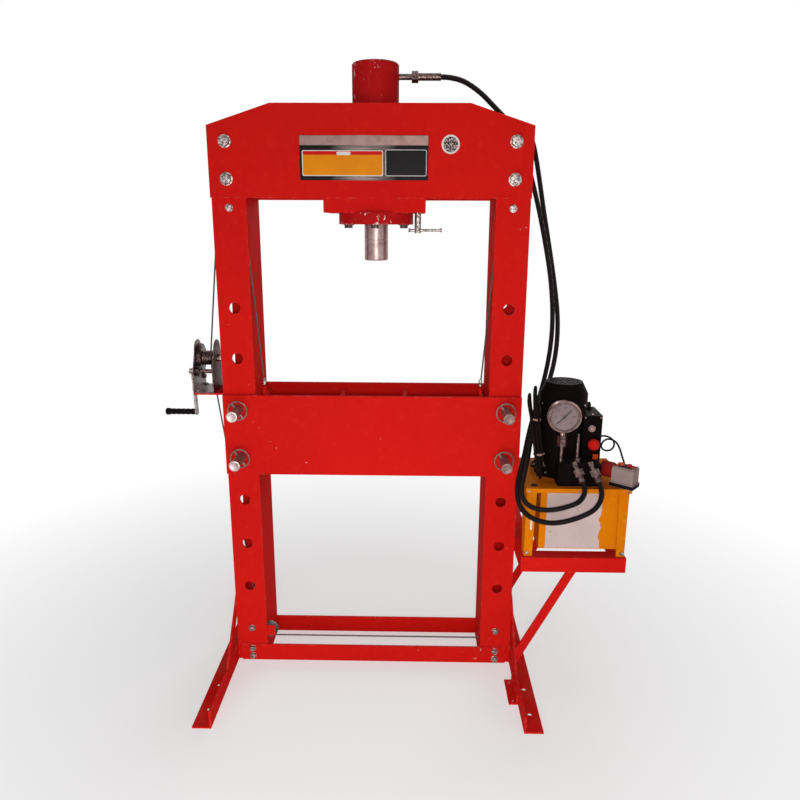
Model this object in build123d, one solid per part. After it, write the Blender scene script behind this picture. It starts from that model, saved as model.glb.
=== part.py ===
"""Hydraulic shop press with winch-lifted bed and electric pump unit, in millimetres.

The frame stands on the floor at Z = 0, X runs across the press and Y from front to back.
The origin lies on the floor, midway between the uprights and at the middle of their depth.
"""
from build123d import *
import math
import os

# Main frame
frame_width = 970.0
upright_face = 105.0
upright_depth = 180.0
upright_wall = 8.0
upright_height = 1795.0
plate_thick = 14.0
overrun = 5.0
weld_gap = 0.3
fit_gap = 0.3
run_gap = 0.05

# Pin holes in the uprights
hole_first_z = 290.0
hole_pitch = 162.0
hole_count = 7
hole_dia = 36.0
lower_pin_index = 3
upper_pin_index = 4

# Crosshead
crosshead_lap = 198.0
crosshead_height = 267.0
crosshead_side = 206.0
shoulder_width = 589.0
crosshead_bolt_low = 54.0
crosshead_bolt_pitch = 107.0
crosshead_bolt_dia = 20.0

# Bolts: washer, head and nut follow the shank's diameter
washer_share = 1.95
washer_thick_share = 0.15
head_flats_share = 1.5
head_height_share = 0.62

# Cylinder, head plate and ram
head_offset = 12.0
head_plate_width = 310.0
head_plate_thick = 42.0
head_plate_inset = 4.0
barrel_dia = 143.0
barrel_bore = 100.0
barrel_rise = 125.0
barrel_cap = 24.0
barrel_chamfer = 4.0
flange_dia = 235.0
flange_thick = 35.0
flange_bolt_dia = 16.0
flange_bolt_circle = 176.0
flange_bolt_count = 4
flange_chamfer = 2.0
ram_dia = 75.0
ram_nose_drop = 111.0
ram_nose_height = 64.0
ram_groove = 1.0
ram_spigot_dia = 40.0
ram_spigot_length = 30.0
nose_chamfer = 3.0
piston_height = 60.0
piston_rest_gap = 25.0
gland_height = 55.0
gland_lip_share = 0.167
port_dia = 12.0
upper_port_drop = 36.0
lower_port_rise = 55.0

# Clamp screw and tommy bar
screw_reach = 132.0
screw_front = 40.0
screw_dia = 20.0
screw_thread_dia = 16.0
screw_thread_length = 34.0
screw_drop = 61.0
bar_dia = 8.0
bar_length = 104.0
bar_shift = 23.0
bar_knob_dia = 12.0
bar_knob_length = 6.0
bar_rise = 9.0

# Bed
bed_height = 270.0
bed_pin_margin = 62.0
bed_side_gap = 1.0
rib_thick = 12.0
rib_edge_drop = 20.0
mid_rib_x = 106.0
end_rib_gap = 8.0
rope_eye_dia = 34.0
rope_eye_wire = 8.0
rope_eye_rise = 14.0

# Bed pins and their lynch pins
pin_dia = 30.0
pin_front_reach = 97.0
pin_back_reach = 15.0
pin_chamfer = 2.0
lynch_spike_dia = 8.0
lynch_spike_length = 58.0
lynch_ring_dia = 66.0
lynch_wire = 5.0
lynch_seat = 22.0
lynch_tilt = 35.0

# Tie bars
tie_end_gap = 15.0
tie_height = 62.0
tie_thick = 6.0
tie_bolt_dia = 12.0
tie_bolt_low = 17.0
tie_bolt_pitch = 30.0

# Feet and braces
foot_length = 900.0
foot_leg = 60.0
foot_wall = 6.0
anchor_dia = 16.0
anchor_out = 30.0
anchor_end = 83.0
anchor_pitch = 122.0
brace_width = 40.0
brace_top_z = 250.0
brace_top_y = 66.0
brace_foot_y = 238.0
lug_length = 122.0
lug_width = 30.0
lug_height = 34.0
lug_end = 132.0
lug_hole_dia = 10.0
lug_hole_shares = (0.12, 0.88)

# Rope run and pulleys
rope_dia = 5.0
rope_plane_y = -72.0
rope_groove = 37.5
guide_groove = 24.0
groove_gap = 0.4
pulley_rim = 4.5
pulley_width = 15.0
groove_half_share = 0.42
axle_dia = 12.0
top_pulley_drop = 29.0
low_pulley_z = 124.0
guide_pulley_lead = 8.0
guide_ear_thick = 4.0
guide_ear_size = 40.0
web_slot_width = 20.0
web_gap = 2.0
web_slot_margin = 55.0
web_rope_hole = 24.0

# Winch
bracket_top = 985.0
bracket_thick = 6.0
bracket_lip = 2.0
bracket_half_depth = 62.0
winch_y = -28.0
winch_out = 95.0
winch_width = 66.0
winch_half_depth = 66.0
winch_height = 167.0
winch_wall = 3.0
winch_shoulder_share = 0.42
crank_y = -62.0
crank_rise = 67.0
gear_teeth = 36
pinion_teeth = 12
gear_module = 2.5
gear_lean = 36.87
gear_thick = 8.0
pinion_thick = 11.0
mesh_gap = 0.25
tooth_root_share = 0.3
tooth_tip_share = 0.14
drum_dia = 38.0
drum_flange_dia = 78.0
drum_flange_thick = 3.0
drum_side_gap = 1.0
wound_radius = 27.5
wound_turns = 8
left_rope_share = 0.7
right_rope_share = 0.42
shaft_dia = 14.0
crank_length = 142.0
crank_width = 22.0
crank_thick = 6.0
crank_gap = 6.0
crank_swing = 6.0
grip_length = 100.0
grip_dia = 23.0
grip_bore = 9.0
grip_rings = 5
pawl_out = 29.0
pawl_drop = 68.0
pawl_thick = 6.0
pawl_pin_dia = 8.0
pawl_nose_share = 0.333

# Pump shelf
shelf_length = 335.0
shelf_half_depth = 240.0
shelf_top = 488.0
shelf_leg = 50.0
shelf_wall = 5.0
strut_y = 190.0
strut_width = 28.0
strut_thick = 8.0
strut_shelf_x = 209.0
strut_low_z = 92.0

# Oil tank with its legs and cover
cover_length = 331.0
cover_front = 236.0
cover_depth = 298.0
cover_rise = 234.0
cover_lip = 14.0
cover_sheet = 4.0
cover_gap = 4.0
tank_length = 250.0
tank_lead = 51.0
tank_front = 221.0
tank_depth = 268.0
tank_rise = 24.0
tank_sheet = 3.0
leg_sheet = 4.0
leg_lead = 5.0
leg_front = 228.0
leg_depth = 282.0
leg_flange_top = 32.0
leg_flange_foot = 26.0
leg_foot_depth = 44.0
leg_arch_rise = 130.0
leg_arch_side_share = 0.24
filler_dia = 15.0

# Motor, fan and fan cover
motor_lead = 140.0
motor_y = -70.0
motor_foot_dia = 166.0
motor_foot_thick = 12.0
motor_dia = 146.0
motor_height = 233.0
fan_cover_dia = 154.0
fan_cover_lap = 7.0
fan_cover_side = 45.0
fan_cover_cone = 38.0
fan_cover_top_dia = 116.0
fan_cover_sheet = 2.5
vent_size = 9.0
vent_pitch = 14.5
vent_rings = 3
fan_dia = 120.0
fan_height = 26.0
fan_blades = 6
fan_blade_thick = 3.0
fan_hub_dia = 34.0
fan_shaft_dia = 14.0
fan_rise = 12.0

# Valve block, gauge and control box
block_lead = 107.0
block_length = 134.0
block_front = 212.0
block_depth = 50.0
block_height = 74.0
block_chamfer = 3.0
stem_lead = 10.0
stem_back = 22.0
stem_dia = 11.0
stem_nut_flats = 26.0
stem_nut_height = 34.0
relief_lead = 60.0
relief_dia = 9.0
relief_height = 92.0
relief_nut_flats = 20.0
relief_nut_height = 14.0
gauge_dia = 104.0
gauge_depth = 34.0
gauge_rise = 151.0
gauge_wall = 3.0
gauge_bezel = 6.0
gauge_dial_drop = 9.0
gauge_lens_thick = 2.0
lens_seat_share = 0.333
gauge_neck_dia = 18.0
gauge_neck_length = 12.0
needle_length = 34.0
needle_tail = 22.0
needle_width = 3.0
needle_thick = 1.2
needle_hub_dia = 7.0
needle_gap_share = 0.25
needle_tip_share = 0.333
needle_rest = 225.0
control_lead = 195.0
control_length = 62.0
control_front = 130.0
control_depth = 118.0
control_rise = 40.0
control_height = 168.0
control_round = 4.0
knob_dia = 36.0
knob_height = 22.0
knob_stem_dia = 14.0
knob_stem_length = 12.0
knob_lead = 32.0
knob_rise = 79.0
knob_travel = 6.0
rocker_width = 17.0
rocker_height = 24.0
rocker_depth = 10.0
rocker_lead = 46.0
rocker_rise = 28.0
rocker_seat_share = 0.167
rocker_crease_share = 0.22
rocker_back_share = 0.6
bezel_wall = 2.5

# Switch box with its inlet shroud, resting on the tank cover
switch_lead = 318.0
switch_front = 205.0
switch_turn = -40.0
switch_length = 76.0
switch_width = 52.0
switch_height = 66.0
switch_base = 15.0
switch_round = 5.0
shroud_dia = 48.0
shroud_rise = 42.0
shroud_wall = 3.0
shroud_length = 42.0
shroud_key = 6.0
button_dia = 15.0
button_height = 5.0
button_stem_dia = 8.0
button_stem_length = 8.0
button_pitch = 24.0
button_travel = 3.0

# Hoses, cables and their fittings
hose_dia = 16.0
fitting_dia = 18.0
fitting_nut_flats = 30.0
fitting_nut_length = 20.0
fitting_ferrule_dia = 21.0
fitting_lead = 38.0
upper_fitting_length = 126.0
lower_fitting_length = 100.0
pump_fitting_length = 50.0
pump_lead_share = 0.25
coupling_turn = (0.33, -0.55, -0.77)
coupling_lead = 54.0
coupling_pitch = 50.0
coupling_rise = 62.0
cable_dia = 10.0
signal_dia = 6.0
hank_width = 40.0
hank_thick = 30.0
hank_tilt = 97.7
hank_length = 296.0
hank_lead = 47.0
hank_y = -150.0

# Cord routes: each hose runs from a barrel port over the rear crosshead plate and down to the valve block
pressure_route = [
    (258, 0, 1953), (326, 20, 1920), (384, 64, 1876), (442, 118, 1836), (500, 148, 1740), (540, 144, 1612),
    (574, 133, 1474), (602, 123, 1334), (615, 118, 1196), (607, 108, 1072), (576, 62, 960), (530, -16, 856),
    (499, -104, 768), (470, -176, 714), (467, -228, 668), (496, -260, 636), (556, -278, 622), (620, -282, 634),
    (686.7, -279.5, 662.5), (708.6, -273.4, 685.0), (719.0, -263.4, 707.8), (719.7, -251.5, 728.7),
]
return_route = [
    (228, 0, 1652), (290, 12, 1688), (338, 34, 1762), (394, 54, 1830), (464, 80, 1841), (516, 136, 1800),
    (546, 168, 1698), (570, 170, 1576), (596, 163, 1450), (619, 149, 1324), (634, 127, 1206), (626, 86, 1098),
    (600, 40, 1008), (556, -16, 918), (524, -80, 842), (507, -140, 788), (486, -196, 748), (472, -240, 712),
    (484, -272, 684), (524, -286, 671), (580, -283, 672), (640.2, -268.9, 685.1),
    (658.2, -264.9, 700.5), (667.0, -257.7, 716.9), (668.1, -248.8, 732.5),
]
signal_route = [
    (742, -60, 838), (753, -60, 840), (769, -63, 844), (786, -67, 841), (799, -71, 830), (802, -75, 815),
    (794, -79, 802), (778, -82, 797), (762, -84, 802), (754, -86, 815), (758, -88, 831), (771, -91, 842),
    (788, -95, 841), (802, -100, 831), (810, -108, 815), (814, -120, 797), (817, -134, 782), (819, -148, 770),
    (818.5, -160.5, 761), (807.5, -174.5, 756),
]
power_route = [
    (720, -50, 762), (720, -49.5, 752), (718, -42, 743), (711, -24, 737), (696, 2, 733), (668, 24, 731),
    (632, 34, 730), (596, 30, 730.5), (564, 12, 730), (543, -16, 731), (534, -50, 734), (534, -84, 742),
    (538, -110, 752), (541, -123, 758), (541, -134.7, 758),
]

# Places that follow from the sizes above
half_width = frame_width / 2
half_depth = upright_depth / 2
web_x = half_width - upright_face
pin_x = half_width - upright_face / 2
plate_front = half_depth + plate_thick
crosshead_bottom = upright_height - crosshead_lap
crosshead_top = crosshead_bottom + crosshead_height
crosshead_corner = crosshead_bottom + crosshead_side
barrel_top = crosshead_top + barrel_rise
head_bottom = crosshead_bottom - head_plate_thick
flange_bottom = head_bottom - flange_thick
ram_nose_bottom = flange_bottom - ram_nose_drop
barrel_radius = barrel_dia / 2
pin_drop = (hole_dia - pin_dia) / 2 - fit_gap
bed_inside = half_depth + bed_side_gap
bed_outside = bed_inside + plate_thick


def hole_z(index):
    """Height of a pin hole, counted from the lowest."""
    return hole_first_z + index * hole_pitch


def pin_z(index):
    """Height of a pin's axis as it rests in its hole."""
    return hole_z(index) - pin_drop


bed_bottom = pin_z(lower_pin_index) - bed_pin_margin
bed_top = bed_bottom + bed_height
end_rib_x = web_x - end_rib_gap - rib_thick / 2
eye_rope_x = end_rib_x - rib_thick / 2 - rope_eye_wire
tie_length = frame_width - 2 * tie_end_gap
top_pulley_z = crosshead_bottom - top_pulley_drop
guide_pulley_x = web_x - guide_pulley_lead
crank_z = bracket_top + crank_rise
shelf_x = half_width
cover_top = shelf_top + cover_rise
tank_bottom = shelf_top + tank_rise
motor_x = shelf_x + motor_lead
motor_top = cover_top + motor_height
fan_cover_low = motor_top - fan_cover_lap
fan_cover_shoulder = fan_cover_low + fan_cover_side
fan_cover_top = fan_cover_shoulder + fan_cover_cone
block_x = shelf_x + block_lead
block_top = cover_top + block_height
stem_x = block_x + stem_lead
stem_y = stem_back - block_front
relief_x = block_x + relief_lead
gauge_z = block_top + gauge_rise
control_x = shelf_x + control_lead
control_low = cover_top + control_rise
knob_z = control_low + knob_rise
rocker_z = control_low + rocker_rise
switch_x = shelf_x + switch_lead
switch_y = -switch_front
coupling_x = (block_x + coupling_lead, block_x + coupling_lead + coupling_pitch)
coupling_z = cover_top + coupling_rise
hank_x = shelf_x + hank_lead
tank_x = shelf_x + tank_lead + cover_gap
cover_x = shelf_x + cover_gap
cover_under = cover_top - cover_sheet
guide_z = low_pulley_z - rope_groove + guide_groove
winch_side = -half_width - winch_out
drum_y = crank_y + math.cos(math.radians(gear_lean)) * gear_module * (gear_teeth + pinion_teeth) / 2
drum_z = crank_z + math.sin(math.radians(gear_lean)) * gear_module * (gear_teeth + pinion_teeth) / 2


def block(x0, x1, y0, y1, z0, z1):
    """A plain block between two corners."""
    return Pos((x0 + x1) / 2, (y0 + y1) / 2, (z0 + z1) / 2) * Box(x1 - x0, y1 - y0, z1 - z0)


def rod(start, end, radius):
    """A round bar from one point to another."""
    axis = Vector(*end) - Vector(*start)
    plane = Plane(origin=start, z_dir=axis)
    return extrude(plane * Circle(radius), amount=axis.length)


def hexagon(start, end, flats):
    """A hexagonal bar from one point to another, given across its flats."""
    axis = Vector(*end) - Vector(*start)
    plane = Plane(origin=start, z_dir=axis)
    return extrude(plane * RegularPolygon(flats / 2, 6, major_radius=False), amount=axis.length)


def plate_xz(points, y0, y1):
    """A flat plate with its outline in X and Z."""
    plane = Plane(origin=(0, y0, 0), x_dir=(1, 0, 0), z_dir=(0, -1, 0))
    return extrude(plane * make_face(Polyline(*points, close=True)), amount=y0 - y1)


def plate_yz(points, x0, x1):
    """A flat plate with its outline in Y and Z."""
    plane = Plane(origin=(x0, 0, 0), x_dir=(0, 1, 0), z_dir=(1, 0, 0))
    return extrude(plane * make_face(Polyline(*points, close=True)), amount=x1 - x0)


def turned(profile, x, y):
    """A turned piece: a half section in radius and height, about an upright axis."""
    plane = Plane(origin=(x, y, 0), x_dir=(1, 0, 0), z_dir=(0, -1, 0))
    return revolve(plane * make_face(Polyline(*profile, close=True)), Axis((x, y, 0), (0, 0, 1)))


def turned_y(profile, x, z):
    """A turned piece about an axis along Y: a half section in radius and Y."""
    plane = Plane(origin=(x, 0, z), x_dir=(1, 0, 0), z_dir=(0, 0, 1))
    return revolve(plane * make_face(Polyline(*profile, close=True)), Axis((x, 0, z), (0, 1, 0)))


def turned_x(profile, y, z):
    """A turned piece about an axis along X: a half section in X and radius."""
    plane = Plane(origin=(0, y, z), x_dir=(1, 0, 0), z_dir=(0, 0, 1))
    return revolve(plane * make_face(Polyline(*profile, close=True)), Axis((0, y, z), (1, 0, 0)))


def bolt(seat, inward, grip, dia):
    """A hexagon bolt with its washer on the seat and its nut past the grip, as one fastener."""
    way = Vector(*inward)
    seat = Vector(*seat)
    washer = washer_thick_share * dia
    head = head_height_share * dia
    flats = head_flats_share * dia
    whole = rod(seat - way * washer, seat, washer_share * dia / 2)
    whole += hexagon(seat - way * (washer + head), seat - way * washer, flats)
    whole += rod(seat, seat + way * (grip + head), dia / 2)
    whole += hexagon(seat + way * grip, seat + way * (grip + head), flats)
    return whole


nodes = {}


def keep(name, *solids):
    """Store a node; several solids share one node as a group."""
    nodes[name] = solids[0] if len(solids) == 1 else Compound(children=list(solids))


def upright(side):
    """A U-channel with its web on the inside, pin holes in both flanges and slots for the rope."""
    outer = side * half_width
    web = side * web_x
    low, high = sorted((outer, web))
    hollow_low, hollow_high = sorted((side * (web_x + upright_wall), side * (half_width + overrun)))
    inner_y = half_depth - upright_wall
    shape = block(low, high, -half_depth, half_depth, 0, upright_height)
    shape -= block(hollow_low, hollow_high, -inner_y, inner_y, -overrun, upright_height + overrun)
    reach = half_depth + overrun
    for index in range(hole_count):
        z = hole_z(index)
        shape -= rod((side * pin_x, -reach, z), (side * pin_x, reach, z), hole_dia / 2)
    for bolt_z in crosshead_bolt_heights:
        shape -= rod((side * pin_x, -reach, bolt_z), (side * pin_x, reach, bolt_z), bolt_hole(crosshead_bolt_dia))
    for bolt_z in tie_bolt_heights:
        shape -= rod((side * pin_x, -reach, bolt_z), (side * pin_x, reach, bolt_z), bolt_hole(tie_bolt_dia))
    for bolt_z in (top_pulley_z, low_pulley_z):
        shape -= rod((side * pin_x, -reach, bolt_z), (side * pin_x, 0, bolt_z), bolt_hole(axle_dia))
    slot_low, slot_high = sorted((side * (web_x - overrun), side * (web_x + upright_wall + overrun)))
    slot_y0 = rope_plane_y - web_slot_width / 2 + upright_wall / 2
    slot_y1 = rope_plane_y + web_slot_width / 2 + upright_wall / 2
    shape -= block(slot_low, slot_high, slot_y0, slot_y1, web_slot_low, web_slot_high)
    rope_z = low_pulley_z - rope_groove
    if side < 0:
        window = guide_groove + pulley_rim + web_gap
        side_y = pulley_width / 2 + web_gap
        shape -= block(slot_low, slot_high, rope_plane_y - side_y, rope_plane_y + side_y,
                       guide_z - window, guide_z + window)
    else:
        half = web_rope_hole / 2
        shape -= block(slot_low, slot_high, slot_y0, slot_y1, rope_z - half, rope_z + half)
    return shape


def bolt_hole(dia):
    """Radius of the clearance hole for a bolt."""
    return dia / 2 + fit_gap


crosshead_bolt_heights = (
    crosshead_bottom + crosshead_bolt_low,
    crosshead_bottom + crosshead_bolt_low + crosshead_bolt_pitch,
)
tie_bolt_heights = (tie_bolt_low, tie_bolt_low + tie_bolt_pitch)


def crosshead_plate(side):
    """A thick plate with sloping shoulders, bolted to the flanges of both uprights."""
    outline = [
        (-half_width, crosshead_bottom),
        (half_width, crosshead_bottom),
        (half_width, crosshead_corner),
        (shoulder_width / 2, crosshead_top),
        (-shoulder_width / 2, crosshead_top),
        (-half_width, crosshead_corner),
    ]
    y0, y1 = sorted((side * half_depth, side * plate_front))
    shape = plate_xz(outline, y0, y1)
    for x in (-pin_x, pin_x):
        for z in crosshead_bolt_heights:
            shape -= rod((x, y0 - overrun, z), (x, y1 + overrun, z), bolt_hole(crosshead_bolt_dia))
    return shape


def frame_bolts():
    """Crosshead bolts and tie-bar bolts, front and rear, with their nuts inside the channels."""
    group = []
    for side in (-1, 1):
        inward = (0, -side, 0)
        for x in (-pin_x, pin_x):
            for z in crosshead_bolt_heights:
                seat = (x, side * plate_front, z)
                group.append(bolt(seat, inward, plate_thick + upright_wall, crosshead_bolt_dia))
            for z in tie_bolt_heights:
                seat = (x, side * (half_depth + tie_thick), z)
                group.append(bolt(seat, inward, tie_thick + upright_wall, tie_bolt_dia))
    return group


def head_plate():
    """The thick plate under the crosshead that carries the cylinder."""
    y = plate_front - head_plate_inset
    x0 = head_offset - head_plate_width / 2
    shape = block(x0, x0 + head_plate_width, -y, y, head_bottom, crosshead_bottom)
    bore = barrel_radius + weld_gap
    shape -= rod((head_offset, 0, head_bottom - overrun), (head_offset, 0, crosshead_bottom + overrun), bore)
    screw_x = head_offset + screw_reach
    depth = screw_thread_length + overrun
    shape -= rod((screw_x, -screw_front, head_bottom - overrun), (screw_x, -screw_front, head_bottom + depth),
                 screw_thread_dia / 2 + run_gap)
    for spot in flange_bolt_places():
        shape -= rod((spot[0], spot[1], head_bottom - overrun), (spot[0], spot[1], head_bottom + depth),
                     bolt_hole(flange_bolt_dia))
    return shape


def flange_bolt_places():
    """Centres of the flange bolts, the first one at the front."""
    spots = []
    for index in range(flange_bolt_count):
        angle = 2 * math.pi * index / flange_bolt_count - math.pi / 2
        radius = flange_bolt_circle / 2
        spots.append((head_offset + radius * math.cos(angle), radius * math.sin(angle)))
    return spots


def cylinder_barrel():
    """The pressure tube, closed at its top, with an oil port near each end."""
    cap = barrel_top - barrel_cap
    profile = [
        (barrel_bore / 2, flange_bottom),
        (barrel_radius, flange_bottom),
        (barrel_radius, barrel_top - barrel_chamfer),
        (barrel_radius - barrel_chamfer, barrel_top),
        (0, barrel_top),
        (0, cap),
        (barrel_bore / 2, cap),
    ]
    shape = turned(profile, head_offset, 0)
    for z in (upper_port_z, lower_port_z):
        shape -= rod((head_offset, 0, z), (head_offset + barrel_dia, 0, z), port_dia / 2)
    return shape


upper_port_z = barrel_top - upper_port_drop
lower_port_z = crosshead_bottom + lower_port_rise


def cylinder_flange():
    """The round flange welded to the barrel's foot."""
    inner = barrel_radius + weld_gap
    outer = flange_dia / 2
    profile = [
        (inner, flange_bottom),
        (outer - flange_chamfer, flange_bottom),
        (outer, flange_bottom + flange_chamfer),
        (outer, head_bottom),
        (inner, head_bottom),
    ]
    shape = turned(profile, head_offset, 0)
    for x, y in flange_bolt_places():
        shape -= rod((x, y, flange_bottom - overrun), (x, y, head_bottom + overrun), bolt_hole(flange_bolt_dia))
    return shape


def flange_bolts():
    """Bolts from below, through the flange into the head plate."""
    group = []
    head = head_height_share * flange_bolt_dia
    for x, y in flange_bolt_places():
        screw = hexagon((x, y, flange_bottom - head), (x, y, flange_bottom), head_flats_share * flange_bolt_dia)
        screw += rod((x, y, flange_bottom), (x, y, head_bottom + screw_thread_length), flange_bolt_dia / 2)
        group.append(screw)
    return group


def gland_bush():
    """The bush in the barrel's mouth that guides the ram, with a stepped wiper seat."""
    inner = ram_dia / 2 + run_gap
    outer = barrel_bore / 2 - run_gap
    step = (outer - inner) / 2
    lip = gland_height * gland_lip_share
    profile = [
        (inner, flange_bottom + lip),
        (inner + step, flange_bottom + lip),
        (inner + step, flange_bottom),
        (outer, flange_bottom),
        (outer, flange_bottom + gland_height),
        (inner, flange_bottom + gland_height),
    ]
    return turned(profile, head_offset, 0)


nose_top = ram_nose_bottom + ram_nose_height
ram_low = nose_top + ram_groove
piston_top = barrel_top - barrel_cap - piston_rest_gap


def ram():
    """The polished ram with its piston and a spigot for the nose."""
    spigot = ram_spigot_dia / 2
    profile = [
        (0, nose_top - ram_spigot_length),
        (spigot, nose_top - ram_spigot_length),
        (spigot, ram_low),
        (ram_dia / 2, ram_low),
        (ram_dia / 2, piston_top - piston_height),
        (barrel_bore / 2 - run_gap, piston_top - piston_height),
        (barrel_bore / 2 - run_gap, piston_top),
        (0, piston_top),
    ]
    return turned(profile, head_offset, 0)


def ram_nose():
    """The hardened nose that sits on the ram's spigot."""
    radius = ram_dia / 2
    bore = ram_spigot_dia / 2 + run_gap
    depth = nose_top - ram_spigot_length - ram_groove
    profile = [
        (0, ram_nose_bottom),
        (radius - nose_chamfer, ram_nose_bottom),
        (radius, ram_nose_bottom + nose_chamfer),
        (radius, nose_top),
        (bore, nose_top),
        (bore, depth),
        (0, depth),
    ]
    return turned(profile, head_offset, 0)


clamp_x = head_offset + screw_reach
clamp_low = head_bottom - screw_drop
bar_z = clamp_low + bar_rise


def lock_screw():
    """The clamp screw in the head plate, cross-drilled for its tommy bar."""
    shape = rod((clamp_x, -screw_front, clamp_low), (clamp_x, -screw_front, head_bottom - fit_gap), screw_dia / 2)
    shape += rod((clamp_x, -screw_front, head_bottom - fit_gap),
                 (clamp_x, -screw_front, head_bottom + screw_thread_length), screw_thread_dia / 2)
    shape -= rod((clamp_x - screw_dia, -screw_front, bar_z), (clamp_x + screw_dia, -screw_front, bar_z),
                 bar_dia / 2 + run_gap)
    return shape


def tommy_bar():
    """The bar that turns the clamp screw, with a swollen end on each side."""
    mid = clamp_x + bar_shift
    ends = (mid - bar_length / 2, mid + bar_length / 2)
    profile = [
        (ends[0], 0),
        (ends[0], bar_knob_dia / 2),
        (ends[0] + bar_knob_length, bar_knob_dia / 2),
        (ends[0] + bar_knob_length, bar_dia / 2),
        (ends[1] - bar_knob_length, bar_dia / 2),
        (ends[1] - bar_knob_length, bar_knob_dia / 2),
        (ends[1], bar_knob_dia / 2),
        (ends[1], 0),
    ]
    return turned_x(profile, -screw_front, bar_z)


def bed_plate(side):
    """One of the two bed plates that straddle the uprights."""
    y0, y1 = sorted((side * bed_inside, side * bed_outside))
    shape = block(-half_width, half_width, y0, y1, bed_bottom, bed_top)
    for x in (-pin_x, pin_x):
        for index in (lower_pin_index, upper_pin_index):
            z = pin_z(index)
            shape -= rod((x, y0 - overrun, z), (x, y1 + overrun, z), pin_dia / 2 + fit_gap)
    return shape


def bed_ribs():
    """Cross ribs welded between the bed plates."""
    group = []
    for x in (-end_rib_x, -mid_rib_x, mid_rib_x, end_rib_x):
        group.append(block(x - rib_thick / 2, x + rib_thick / 2, -bed_inside, bed_inside,
                           bed_bottom + rib_edge_drop, bed_top - rib_edge_drop))
    return group


eye_z = bed_top - rib_edge_drop + rope_eye_rise + rope_eye_dia / 2
eye_top = eye_z + rope_eye_dia / 2 + groove_gap


def rope_eyes():
    """Eyes welded to the inner face of the end ribs, one for each lift rope."""
    group = []
    for side in (-1, 1):
        inner = end_rib_x - rib_thick / 2
        x = side * eye_rope_x
        low, high = sorted((side * inner, side * (eye_rope_x - rope_eye_wire / 2)))
        plane = Plane(origin=(x, rope_plane_y, eye_z), z_dir=(1, 0, 0))
        ring = plane * Torus((rope_eye_dia - rope_eye_wire) / 2, rope_eye_wire / 2)
        stalk_z = bed_top - rib_edge_drop - rope_eye_dia
        ring += rod((x, rope_plane_y, stalk_z), (x, rope_plane_y, eye_z - (rope_eye_dia - rope_eye_wire) / 2),
                    rope_eye_wire / 2)
        ring += block(low, high, rope_plane_y - rope_eye_wire, rope_plane_y + rope_eye_wire,
                      stalk_z - rope_eye_wire, stalk_z + rope_eye_wire)
        group.append(ring)
    return group


pin_front = -bed_outside - pin_front_reach
pin_back = bed_outside + pin_back_reach
lynch_y = -bed_outside - lynch_seat


def bed_pin(x, z):
    """A round bed pin, chamfered at both ends and cross-drilled for its lynch pin."""
    radius = pin_dia / 2
    profile = [
        (0, pin_front),
        (radius - pin_chamfer, pin_front),
        (radius, pin_front + pin_chamfer),
        (radius, pin_back - pin_chamfer),
        (radius - pin_chamfer, pin_back),
        (0, pin_back),
    ]
    shape = turned_y(profile, x, z)
    return shape - lynch_spike(x, z, run_gap)


def lynch_spike(x, z, gap):
    """The straight spike of a lynch pin, through the bed pin at a slant."""
    tilt = math.radians(lynch_tilt)
    reach = lynch_spike_length / 2
    start = (x - reach * math.sin(tilt), lynch_y, z + reach * math.cos(tilt))
    end = (x + reach * math.sin(tilt), lynch_y, z - reach * math.cos(tilt))
    return rod(start, end, lynch_spike_dia / 2 + gap)


def lynch_pin(x, z):
    """The spike and its spring ring, which lies round the bed pin."""
    plane = Plane(origin=(x, lynch_y, z), z_dir=(0, 1, 0))
    ring = plane * Torus((lynch_ring_dia - lynch_wire) / 2, lynch_wire / 2)
    return ring + lynch_spike(x, z, 0)


def tie_bar(side):
    """A flat bar across the foot of both uprights."""
    y0, y1 = sorted((side * half_depth, side * (half_depth + tie_thick)))
    shape = block(-tie_length / 2, tie_length / 2, y0, y1, 0, tie_height)
    for x in (-pin_x, pin_x):
        for z in tie_bolt_heights:
            shape -= rod((x, y0 - overrun, z), (x, y1 + overrun, z), bolt_hole(tie_bolt_dia))
    return shape


foot_outer = half_width + foot_leg
anchor_y = foot_length / 2 - anchor_end
anchor_inner_y = anchor_y - anchor_pitch
lug_y = lug_end - foot_length / 2


def foot(side):
    """An angle-iron foot with its two braces, welded into one piece."""
    half = foot_length / 2
    leg = sorted((side * half_width, side * (half_width + foot_wall)))
    flat = sorted((side * half_width, side * foot_outer))
    shape = block(flat[0], flat[1], -half, half, 0, foot_wall)
    shape += block(leg[0], leg[1], -half, half, 0, foot_leg)
    for way in (-1, 1):
        slope = math.atan2(brace_top_z - foot_leg, brace_foot_y - brace_top_y)
        wide = brace_width / math.sin(slope)
        outline = [
            (way * brace_top_y, brace_top_z),
            (way * brace_foot_y, foot_leg),
            (way * (brace_foot_y - wide), foot_leg),
            (way * (brace_top_y - wide / 2), brace_top_z - brace_width / 2),
            (way * (brace_top_y - wide / 2), brace_top_z),
        ]
        shape += plate_yz(outline, leg[0], leg[1])
        for y in (way * anchor_y, way * anchor_inner_y):
            x = side * (half_width + anchor_out)
            shape -= rod((x, y, -overrun), (x, y, foot_wall + overrun), anchor_dia / 2)
    if side > 0:
        shape += foot_lug()
    return shape


def foot_lug():
    """A short angle on the inside of the right foot, drilled to fix it to the floor."""
    shape = block(half_width - lug_width, half_width, lug_y, lug_y + lug_length, 0, foot_wall)
    shape += block(half_width - foot_wall, half_width, lug_y, lug_y + lug_length, 0, lug_height)
    for share in lug_hole_shares:
        x = half_width - lug_width / 2
        y = lug_y + lug_length * share
        shape -= rod((x, y, -overrun), (x, y, foot_wall + overrun), lug_hole_dia / 2)
    return shape


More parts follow.
